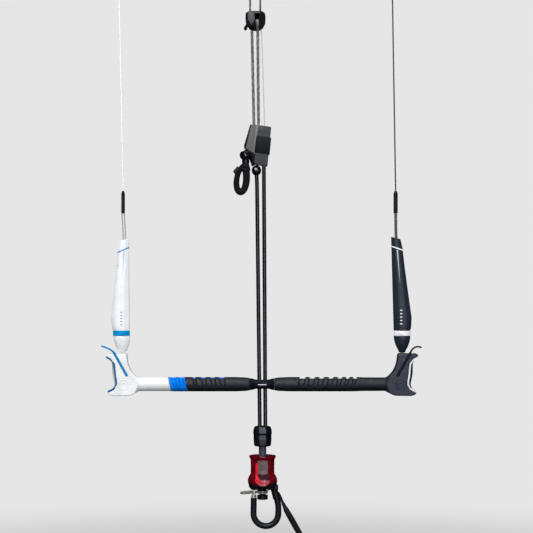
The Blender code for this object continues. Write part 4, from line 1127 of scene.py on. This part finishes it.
def make_grips():
    """The black grips, the blue one beside the white sleeve, and the bright core that shows in the slots."""
    taper = [(GRIP_START + u, r) for u, r in ((0, 9.6), (1.2, 10.3), (3, 10.7), (8, 11.3), (24, 11.95))]
    outer_left = with_bore([*taper, (BLUE_START, 12.0)])
    outer_right = with_bore([*taper, (152.0, 12.0), (168.0, 11.4), (GRIP_END, 11.2)])
    band = with_bore([(BLUE_START + 0.3, 12.0), (WHITE_START, 11.9)])
    white = with_bore([(WHITE_START + 0.3, 11.35), (GRIP_END, 11.35)], step=2.0)
    rim = with_bore([(WHITE_START + 0.35, 11.7), (WHITE_START + 2.2, 11.7)], 11.37, 0.5)

    def into_slant(u):
        return GRIP_SLANT * clamp((u - 30.0) / 30.0)

    def slanted(u):
        return GRIP_SLANT

    def out_of_slant(u):
        return GRIP_SLANT * max(0.0, 1 - (u - WHITE_START) / 20.0)

    def both(u):
        return min(into_slant(u), GRIP_SLANT * max(0.0, (190 - u) / 24))

    rows = (
        ("grip_left_ridged", -1, outer_left, slotted(LEFT_SLOTS, 1.35, 1.1), into_slant, "GripFoam",
         "grip_left"),
        ("grip_band_ridged", -1, band, slotted(BAND_SLOTS, 0.6, 1.7), slanted, "BlueGrip", "grip_band"),
        ("bar_sleeve_tube", -1, white, None, out_of_slant, "WhiteTube", "bar_sleeve_left"),
        ("bar_sleeve_rim", -1, rim, None, slanted, "CreamRim"),
        ("grip_right_ridged", 1, outer_right, slotted(RIGHT_SLOTS, 1.35, 1.1), both, "GripFoam",
         "grip_right"),
    )
    for name, side, line, radius_at, lean, finish, *nodes in rows:
        place(round_bar(name, side, line, radius_at, lean=lean), "bar", finish, *nodes)
    make_spine("spine_blue", -1, 58.0, BLUE_START - 10.0, "BlueGrip")
    make_spine("spine_white", 1, 58.0, 156.0, "WhiteTube")
    core = [(20.35, 7.6), (20.75, 8.0), (218.1, 8.0), (218.5, 7.6), (218.5, 6.5), (20.35, 6.5)]
    for side, name in SIDES.items():
        made = round_bar(f"core_tube_{name}_carbon", side, core, sides=64)
        place(made, "bar", "CoreCarbon", f"core_tube_{name}")


def make_spine(name, side, start, end, finish):
    """A strip of the bright core along the grip's top. It shows where the grooves cut down to it."""
    half, top_r, foot_r, steps = radians(32), 11.3, 10.5, 12
    rings = []
    for u in [start + (end - start) * i / 40 for i in range(41)]:
        ring = []
        for r, turns in ((top_r, range(steps + 1)), (foot_r, range(steps, -1, -1))):
            for i in turns:
                a = -half + 2 * half * i / steps
                ring.append((BAR_X + side * (u + GRIP_SLANT * r * cos(a)), -r * sin(a), BAR_Z + r * cos(a)))
        rings.append(ring)
    place(skin(name, rings), "bar", finish)


def make_bar_middle():
    """The hub with its plain marker bar, and the bush inside it that slides on the tubes."""

    def soft(value, power):
        return abs(value) ** power * (1 if value > 0 else -1)

    # Half of the hub, as (distance from its middle, half depth, half height, power of its rounding).
    half_hub = [(20.0, 10.0, 10.0, 1.0), (18.0, 10.4, 9.7, 0.9), (14.4, 11.1, 8.7, 0.7),
                (11.0, 11.5, 7.7, 0.55), (8.0, 11.6, 7.1, 0.5), (0.0, 11.7, 7.0, 0.46)]
    stations = finer([(-u, *rest) for u, *rest in half_hub] + half_hub[-2::-1], lambda p, q: 4)
    rings = [[(BAR_X + u, y * soft(cos(a), power), BAR_Z + z * soft(sin(a), power)) for a in angles(64, 0.5)]
             for u, y, z, power in stations]
    hub = skin("centre_hub_shell", rings)
    room = solid("hub_room", disc_outline(14.25, 12.0, 24), -5.85, 5.85)
    x, z = 13.6, 14.0
    mouth = solid("hub_mouth", [(BAR_X - x, BAR_Z - z), (BAR_X + x, BAR_Z - z), (BAR_X + x, BAR_Z + z),
                                (BAR_X - x, BAR_Z + z)], -5.8, 5.8)
    place(carved(hub, room, mouth), "bar", "HubPlastic", "centre_hub")
    marker = [(-7.5, -667.3), (6.5, -667.3), (6.5, -668.7), (-7.5, -668.7)]
    place(solid("hub_marker", marker, -12.0, -11.2, 0.25, 0.5), "bar", "MarkerGrey")

    bush = solid("centre_bush_body", disc_outline(13.9, 7.3, 18), -5.5, 5.5, 0.5)
    half, end_r = 5.45, 3.65
    ends = [(half + end_r * cos(a), end_r * sin(a)) for a in (-pi / 2 + pi * i / 16 for i in range(17))]
    ends += [(-x, -y) for x, y in ends]
    slot = skin("bush_slot", [[(BAR_X - TUBE_LEAN * rise + x, y, BAR_Z + rise) for x, y in ends]
                              for rise in (-15, 15)])
    place(carved(bush, slot), "bush", "BushNylon", "centre_bush")


def disc_outline(r, height, steps):
    """A disc round the bar's middle with its top and bottom cut off level, as (x, z) points."""
    turn = atan2(height, (r * r - height * height) ** 0.5)
    right = [-turn + 2 * turn * i / steps for i in range(steps + 1)]
    return [(BAR_X + r * cos(a), BAR_Z + r * sin(a)) for a in (*right, *(pi + a for a in right))]


# ---------------------------------------------------------------- bar ends

# Points are (distance outwards from the bar's middle, height over its axis).
HORN_START = 204.3
HOLLOW = ((259.0, 44.4), (251.6, 40.2), (246.5, 34.1), (244.5, 16.1), (242.6, 1.0), (246.0, -5.6),
          (256.0, -11.0))
# The rest of the horn's outline, as (distance, height, fillet).
HORN_REST = (
    (258.9, 48.0, 1.2), (255.6, 51.2, 1.6), (248.6, 50.4, 4), (240.6, 51.2, 4), (226.4, 51.4, 1.6),
    (224.4, 49.0, 1), (224.0, 41.5, 4), (221.6, 30.0, 6), (216.0, 19.6, 6), (208.5, 12.4, 5),
    (203.0, 11.2, 0), (203.0, -11.2, 0), (209.0, -13.6, 5), (219.0, -18.6, 5), (248.5, -18.9, 4),
    (255.4, -15.2, 2))
SOCKET_START, SOCKET_END, HORN_BORE = 190.0, 218.9, 8.35
CAP_AT = 229.0
ELASTIC_R, GROOVE_R = 1.6, 2.35
# The elastics lie in a straight groove and then bend out and back: (distance, height, y).
GROOVE = ((223.4, 14.0, -12.0), (233.7, 32.5, -12.0), (244.0, 51.0, -12.0))
FREE_ENDS = {-1: ((246.4, 54.6, -13.6), (250.0, 57.6, -15.6), (255.4, 60.6, -17.0), (262.0, 63.2, -17.6),
                  (266.0, 64.2, -17.6)),
             1: ((246.4, 56.2, -13.6), (249.4, 60.2, -15.6), (253.8, 62.6, -17.0), (258.0, 63.0, -17.6),
                 (263.6, 61.8, -17.6))}
# What differs from end to end. The flange behind the trim starts at flange_y, bulges and may have teeth; its
# finish is the body's plastic darkened, as painted shade.
END_LOOKS = {
    -1: {"root_r": 11.5, "flange_y": 5.2, "bulge": 4.8, "tooth": 0.0, "body": "WhiteHorn",
         "trim": "BlueTrim", "flange": "CreamFlange", "elastic": "BlueElastic"},
    1: {"root_r": 11.4, "flange_y": -1.0, "bulge": 5.4, "tooth": 0.35, "body": "NavyHorn",
        "trim": "WhiteTrim", "flange": "DarkFlange", "elastic": "BlackElastic"}}


def at_bar(side, points):
    return [(BAR_X + side * u, BAR_Z + w) for u, w in points]


def hollow_line(step):
    return [(p.x, p.y) for p in smooth_route([(u, w, 0.0) for u, w in HOLLOW], step)]


def shifted(line, distance):
    """An open line moved sideways, to its left."""
    moved = []
    for i, (u, w) in enumerate(line):
        before, after = Vector(line[max(i - 1, 0)]), Vector(line[min(i + 1, len(line) - 1)])
        ahead = (after - before).normalized()
        moved.append((u - ahead.y * distance, w + ahead.x * distance))
    return moved


def retainer_route(side, points):
    return [Vector((BAR_X + side * u, y, BAR_Z + w)) for u, w, y in points]


def lofted(body, side, root_r):
    """Draws the horn's root in to the round of the tube that it grows out of."""
    for vert in body.data.vertices:
        u, y, w = side * (vert.co.x / MM - BAR_X), vert.co.y / MM, vert.co.z / MM - BAR_Z
        out = max(0.0, u - HORN_START)
        reach, limit = (y * y + w * w) ** 0.5, root_r + 0.66 * out + 0.06 * out * out
        if reach > limit:
            vert.co.y *= limit / reach
            vert.co.z = (BAR_Z + w * limit / reach) * MM


def make_horn(side, name, looks):
    """A moulded horn with a hollow for wound lines, bored for the bar's core and grooved for the elastic."""
    inside = shifted(hollow_line(2.0), -2.5)
    line = [inside[0], *((u, w) for u, w, _ in HORN_REST), inside[-1]]
    rest = filleted(line, [0, *(size for _, _, size in HORN_REST), 0], closed=False, steps=5)
    outline = [*rest, *reversed(inside[1:-1])]
    body = solid("horn", at_bar(side, outline), -13.2, 13.2, 3.4, segments=5)
    root_r = looks["root_r"]
    neck = round_bar("neck", side, [(201.0, root_r), (206.0, root_r + 0.3), (216.0, 13.0), (224.0, 12.0)],
                     closed=False)
    body = moulded(f"horn_{name}", [body, neck], 0.85, 10)
    lofted(body, side, root_r)
    flatten = round_bar("flatten", side, [(SOCKET_START, 30.0), (HORN_START, 30.0)], closed=False)
    socket = round_bar("socket", side, [(SOCKET_START, HORN_BORE), (SOCKET_END, HORN_BORE)], closed=False)
    start, middle, end = retainer_route(side, GROOVE)
    run = (end - start).normalized()
    cuts = []
    for y in (0.4, -1.6):
        route = [p + Vector((0, y, 0)) for p in (start - run, middle, end, end + run * 16)]
        cuts.append(tube("groove", smooth_route(route, 1.5), GROOVE_R, sides=24, rounded=2.2))
    place(carved(body, flatten, socket, *cuts), "bar", looks["body"], f"bar_end_{name}")


def make_end_trim(side, name, looks):
    """The coloured strip that lines the hollow, and the flange behind it, toothed on the right. The flange's
    colour is the body's plastic darkened as painted shade.
    """
    hollow = hollow_line(2.0)
    strip = solid(f"end_trim_{name}_strip", at_bar(side, [*hollow, *reversed(shifted(hollow, -2.6))]),
                  -13.0, 6.0, 0.35, segments=2)
    place(strip, "bar", looks["trim"], f"end_trim_{name}")
    line = hollow_line(0.55)
    outer = []
    for i, (spot, (u, w)) in enumerate(zip(shifted(line, 1.0), line)):
        t = i / (len(line) - 1)
        bulge = looks["bulge"] * max(0.0, sin(pi * clamp((t - 0.12) / 0.76))) ** 0.35
        tooth = looks["tooth"] * (0.5 + 0.5 * sin(i * 0.55 * 2 * pi / 2.4)) * min(1.0, bulge)
        away = Vector((spot[0] - u, spot[1] - w)).normalized()
        outer.append((u + away.x * (bulge - tooth - 0.4), w + away.y * (bulge - tooth - 0.4)))
    flange = solid(f"end_flange_{name}", at_bar(side, [*outer, *reversed(shifted(line, -2.6))]),
                   looks["flange_y"], 11.6, 0.3, segments=2)
    # The flange is painted darker than the horn, as shade behind the trim.
    place(flange, "bar", looks["flange"])


def make_end_cap(side, name, looks):
    """A round cap: a raised rim, a shallow dish and a plain centre, with a screw recess."""
    cap_x = BAR_X + side * CAP_AT
    profile = [(0.4, -12.9), (1.6, -12.9), (2.0, -13.35), (5.6, -13.45), (6.3, -13.1), (7.0, -13.1),
               (7.6, -13.75), (8.7, -13.7), (9.1, -13.2), (9.1, -11.6), (0.4, -11.6)]
    rings = [[(cap_x + r * cos(a), y, BAR_Z + r * sin(a)) for a in angles(72)]
             for r, y in filleted(profile, 0.25, steps=2)]
    place(skin(f"end_cap_{name}_rim", rings, closed=True), "bar", looks["body"], f"end_cap_{name}")


def make_end_retainer(side, name, looks):
    """The elastic that holds wound lines: a cord with a bead at each end of its groove, and a sealed tip."""

    def size(s, a):
        bead_low = exp(-((s - 1.6) / 1.9) ** 2)
        bead_top = exp(-((s - 43.5) / 1.7) ** 2)
        thin = 0.18 * clamp((s - 46) / 6)
        return ELASTIC_R - thin + 0.35 * bead_low + 0.62 * bead_top + 0.03 * sin(6 * a + s * 2.2)

    route = smooth_route(retainer_route(side, GROOVE + FREE_ENDS[side]), 0.8)
    made = tube(f"retainer_{name}_cord", route, size, sides=28, rounded=1.5)
    place(made, f"retainer_{name}", looks["elastic"], f"retainer_{name}")


def make_bar_ends():
    for side, name in SIDES.items():
        for make in (make_horn, make_end_trim, make_end_cap, make_end_retainer):
            make(side, name, END_LOOKS[side])


# ---------------------------------------------------------------- swivel and quick release

# The release sleeve's outside, from the rim down, as (radius, z).
SLEEVE_OUTSIDE = ((22.0, -786.4), (22.35, -787.0), (22.3, -788.2), (21.4, -789.8), (20.4, -791.6),
                  (19.8, -794.0), (19.65, -800.0), (19.65, -808.0), (19.7, -815.6), (20.4, -817.4),
                  (22.4, -820.4), (24.0, -824.2), (24.35, -826.5), (24.35, -829.5), (24.0, -832.0),
                  (23.5, -833.3))
SEAT_FOOT_Z = -796.4


def make_shaft():
    """The swivel shaft with its head, the spring seat on it, and the spring under the seat."""
    shaft = [(0.3, -756.0), (9.2, -756.0), (9.6, -756.4), (9.6, -760.0), (9.2, -760.4), (6.9, -760.4),
             (6.6, -760.9), (6.6, -829.0), (6.2, -829.4), (0.3, -829.4)]

    def flats(a, z):
        return 1 - 0.05 * max(0.0, cos(2 * a)) ** 6 if -786 < z < -771 else 1.0

    levels = finer(shaft, lambda p, q: 12 if p[1] - q[1] > 30 else 1)
    made = turned("swivel_shaft_turned", levels, sides=64, wobble=flats)
    place(made, "release", "DarkAnodised", "swivel_shaft")
    seat = [(6.95, -793.6), (16.6, -793.6), (16.6, SEAT_FOOT_Z), (6.95, SEAT_FOOT_Z)]
    made = turned("spring_seat_ring", seat, sides=72, closed=True, fillet=0.5)
    place(made, "release", "ReleasePlastic", "spring_seat")
    low_z, high_z, coil_r, turns, steps = -813.35, -797.55, 12.0, 4, 28
    count = turns * steps
    coil = [Vector((coil_r * cos(2 * pi * i / steps), coil_r * sin(2 * pi * i / steps),
                    low_z + (high_z - low_z) * i / count)) for i in range(count + 1)]
    spring = tube("release_spring_coil", coil, 0.8, sides=14, rounded=0.5, start_side=(0, 0, 1))
    place(spring, "release", "SpringSteel", "release_spring")
    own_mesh(spring)


def sleeve_facets(a, z):
    """How far the flared foot is drawn in at this angle: six flats, with the corners left full."""
    strength = clamp((-816.5 - z) / 3.0) * clamp((z + 834.5) / 3.0)
    turn = (a + pi / 2 + pi / 6) % (pi / 3) - pi / 6
    return 1 + 0.5 * strength * (cos(pi / 6) / cos(turn) - 1.0)


def make_sleeve():
    """The push-away sleeve: a rolled rim, a straight grip, a flared foot with six facets, and its plates.
    Three bright red plates are painted highlights on the clear red shell.
    """
    inner = [(21.4, -833.3), (21.4, -823.0), (17.6, -817.5), (7.2, -817.5), (7.2, -814.5), (17.4, -814.5),
             (17.4, -791.0), (20.2, -787.4), (20.9, -786.5)]
    turns = angles(132)
    rings = [[(r * sleeve_facets(a, z) * cos(a), r * sleeve_facets(a, z) * sin(a), z) for a in turns]
             for r, z in finer(SLEEVE_OUTSIDE, lambda p, q: 3)]
    rings += [[(r * cos(a), r * sin(a), z) for a in turns] for r, z in inner]
    sleeve = skin("release_sleeve_shell", rings, closed=True, smooth_angle=22)
    place(sleeve, "release_sleeve", "ReleaseRed", "release_sleeve")
    plates = (
        ("panel", [(-7.9, -793.2), (8.8, -793.2), (8.8, -815.4), (-7.9, -815.4)], 0.45, 1.2, "PanelGrey"),
        ("panel_inset", [(-5.0, -799.0), (3.6, -799.0), (3.6, -808.6), (-5.0, -808.6)], 0.75, 1.8,
         "InsetGrey"),
        ("belt", [(-8.0, -816.6), (9.0, -816.6), (11.4, -824.0), (-9.0, -824.0)], 0.3, 0.8, "DeepRed"),
        ("shield", [(-11.8, -825.4), (12.4, -825.4), (11.6, -830.0), (4.4, -835.0), (-1.6, -835.0),
                    (-10.6, -830.4)], 0.35, 1.0, "ShieldRose"),
        # The three bright red streaks are painted highlights: raised plates in a light red where the shell
        # would catch light.
        ("highlight_streak_upright", [(-11.4, -797.4), (-8.3, -797.4), (-8.5, -818.4), (-11.6, -818.4)], 0.5, 0.9,
         "PaintedHighlightRed"),
        ("highlight_streak_right", [(-11.4, -817.6), (-8.6, -817.6), (-4.4, -824.6), (1.6, -831.0), (0.4, -832.8),
                          (-6.4, -827.4), (-11.4, -821.0)], 0.7, 0.6, "PaintedHighlightRed"),
        ("highlight_streak_left", [(-12.6, -824.2), (-10.2, -823.4), (-9.4, -828.6), (-11.4, -829.6)], 0.6, 0.5,
         "PaintedHighlightRed"),
    )
    for name, outline, proud, corner, finish in plates:
        place(wrapped_plate(f"sleeve_{name}", outline, proud, corner), "release_sleeve", finish)


def wrapped_plate(name, outline, proud, corner):
    """A thin raised plate that follows the sleeve's round front: outline is (x, z) as seen from the front."""
    line = filleted(outline, corner)
    line = finer([*line, line[0]], lambda p, q: max(1, round((Vector(q) - Vector(p)).length / 1.1)))[:-1]
    mid_x, mid_z = (sum(values) / len(line) for values in zip(*line))
    outside = [(-z, r) for r, z in SLEEVE_OUTSIDE]

    def point(x, z, out):
        level = max(SLEEVE_OUTSIDE[-1][1], z)
        round_r = r = reading(outside, -level)
        for _ in range(5):
            r = round_r * sleeve_facets(-acos(max(-0.999, min(0.999, x / r))), level) + out
        return (x, -(max(1.0, r * r - x * x) ** 0.5), z)

    levels = [(1.0, -0.6), (1.0, proud - 0.15), (0.97, proud), *((k / 10, proud) for k in range(9, 0, -1))]
    shape, (_, top) = shell([[point(mid_x + (x - mid_x) * shrink, mid_z + (z - mid_z) * shrink, out)
                              for x, z in line] for shrink, out in levels])
    centre = bmesh.ops.poke(shape, faces=[top])["verts"][0]
    centre.co = point(mid_x, mid_z, proud)
    return mesh_from(name, shape)


def make_core():
    """The core with its lug for the loop, the post below it and the post's cap."""
    core = [(6.95, -829.8), (6.95, -818.4), (16.4, -818.4), (20.8, -824.2), (20.9, -826.0), (20.9, -833.9),
            (23.6, -834.2), (23.6, -835.4), (22.2, -838.4), (16.8, -841.6), (15.2, -842.0), (5.0, -842.0),
            (5.0, -851.2), (0.3, -851.2), (0.3, -829.8)]

    def lobes(a, z):
        return 1 - 0.05 * (0.5 + 0.5 * cos(2 * a)) if -841.9 <= z <= -833.5 else 1.0

    body = turned("core", core, sides=112, wobble=lobes)
    lug = solid("lug", [(9.0, -834.7), (24.6, -834.7), (26.2, -837.4), (26.2, -841.8), (11.0, -842.3),
                        (9.0, -840.0)], -8.4, 8.4, 1.4, 1.4)
    body = moulded("release_core_mould", [body, lug], 0.5, 3)
    notch = solid("core_notch", [(7.0, -838.6), (8.0, -838.6), (7.4, -846.0), (6.2, -846.0)], -30, -8)
    place(carved(body, notch), "release", "ReleasePlastic", "release_core")
    lobe = ((23.6, -828.9), (19.4, -830.2), (13.4, -833.6), (8.6, -837.6), (8.4, -841.0), (19.0, -841.2),
            (22.6, -837.4))
    for side, name in SIDES.items():
        plate = wrapped_plate(f"core_lobe_{name}", [(side * x, z) for x, z in lobe], 0.6, 1.0)
        place(plate, "release", "ReleasePlastic")
    cap = [(0.3, -851.8), (8.3, -851.8), (9.0, -852.4), (9.0, -854.6), (8.6, -855.0), (8.6, -855.6),
           (9.0, -856.0), (9.0, -858.2), (7.9, -859.2), (5.4, -859.2), (5.0, -858.6), (0.3, -858.6)]
    made = turned("post_cap_turned", cap, sides=72, wobble=lambda a, z: 1 - 0.012 * (0.5 + 0.5 * cos(18 * a)))
    place(made, "release", "ReleasePlastic", "post_cap")


def make_leash_ring():
    """A bent wire ring round the post, with a long narrow tail that droops, and a washer over it."""
    turn = radians(34.0)
    along, across = Vector((-cos(turn), sin(turn), 0)), Vector((-sin(turn), -cos(turn), 0))
    eye_r, tail_half, tail = 7.4, 4.8, 38.0
    flat = [(eye_r * cos(radians(a)), eye_r * sin(radians(a))) for a in range(60, 301, 20)]
    flat += [(9.0, -5.0), (14.5, -tail_half), (24.0, -tail_half)]
    flat += [(tail + tail_half * cos(radians(a)), tail_half * sin(radians(a))) for a in range(-90, 91, 30)]
    flat += [(24.0, tail_half), (14.5, tail_half), (9.0, 5.0)]
    points = []
    for p, q in flat:
        droop = 4.2 * max(0.0, (p - 12.0) / 31.0) ** 1.6
        roll = 0.34 * q * clamp((p - 6.0) / 10.0)
        points.append(along * p + across * q + Vector((0, 0, -848.0 - droop + roll)))
    dense = smooth_route([points[-1], *points, points[0], points[1]], 1.0)
    half = len(dense) // 2
    start, end = (min(stretch, key=lambda i: (dense[i] - points[0]).length)
                  for stretch in (range(half), range(half, len(dense))))
    made = tube("leash_ring_wire", dense[start:end], 1.5, sides=20, closed=True, start_side=(0, 0, 1))
    place(made, "leash_ring", "RingSteel", "leash_ring")
    washer = [(5.3, -844.6), (9.8, -844.6), (10.2, -845.0), (10.2, -845.5), (9.8, -845.9), (5.3, -845.9)]
    place(turned("ring_washer", washer, sides=72, closed=True), "release", "RingSteel")


# ---------------------------------------------------------------- chicken loop


def make_loop():
    """The loop: a sheathed tube, its ferrule, and the steel fitting crimped on its free end."""
    centre, bend, parts = Vector((5.6, 0, -883.0)), 20.5, 11
    route = [(-14.5, 0, -856.8), (-14.6, 0, -866.0), (-14.8, 0, -875.0)]
    route += [(centre.x + bend * cos(pi + pi * i / parts), 0, centre.z + bend * sin(pi + pi * i / parts))
              for i in range(parts + 1)]
    route += [(26.3, 0, -874.0), (25.7, 0, -866.5), (24.2, 0, -860.0), (22.9, 0, -855.0)]
    sheath = tube("loop_tube_sheath", smooth_route(route, 1.2), lambda s, a: 5.1 + 0.02 * sin(s / 1.7), 44)
    place(sheath, "loop", "LoopRubber", "loop_tube")

    def ferrule_size(s, a):
        ring = 0.3 if 15.8 < s < 16.8 or 8.0 < s < 8.8 else 0.0
        return 5.9 - ring

    top, foot = Vector((18.4, 0, -839.0)), Vector((23.6, 0, -858.6))
    path = [top.lerp(foot, i / 24) for i in range(25)]
    ferrule = tube("loop_ferrule_shell", path, ferrule_size, sides=48, rounded=1.1)
    place(ferrule, "loop", "ReleasePlastic", "loop_ferrule")

    x = -14.5  # of the fitting
    cup = [(0.3, -851.2), (3.0, -851.2), (4.0, -852.0), (4.5, -853.4), (4.2, -854.2), (4.5, -855.0),
           (4.4, -856.4), (0.3, -856.4)]
    stem = solid("stem", [(x - 1.7, -842.6), (x + 1.7, -842.6), (x + 2.0, -851.6), (x - 2.0, -851.6)],
                 -1.5, 1.5, 0.5, 0.7, 3)
    made = joined("loop_fitting_crimped", [turned("cup", cup, (x, 0), 48), stem])
    place(made, "loop", "RingSteel", "loop_fitting")


def make_finger():
    """The flexible finger that keeps the hook in: slim at its root, thick in the middle, flat at its tip."""
    route = [(26.0, 0, -847.0), (29.2, 0, -853.6), (32.4, 0, -862.0), (36.2, 0, -870.0), (40.0, 0, -878.0),
             (48.8, 0, -893.4), (60.4, 0, -914.2), (70.8, 0, -932.6), (72.8, 0, -936.2)]
    radii = ((0, 1.7), (16.0, 2.2), (25.0, 3.2), (34.0, 4.6), (52.0, 5.0), (75.0, 4.85), (95.0, 4.6),
             (100.0, 3.6))

    def size(s, a):
        r = reading(radii, s, eased=True)
        return boxy(0.85 * r, r, 2.6)(s, a) - 0.22 * exp(-((s - 35.5) / 0.7) ** 2)

    made = tube("loop_finger_moulded", smooth_route(route, 1.0), size, sides=40, rounded=1.6)
    place(made, "finger", "FingerRubber", "loop_finger")


def main():
    for make in (make_camera, make_room, make_plastics, make_metals, make_soft_finishes, make_yarns,
                 make_lines, make_separator, make_cleat, make_trim_handle, make_tubes_and_barrel, make_floats,
                 make_grips, make_bar_middle, make_bar_ends, make_shaft, make_sleeve, make_core,
                 make_leash_ring, make_loop, make_finger):
        make()


main()
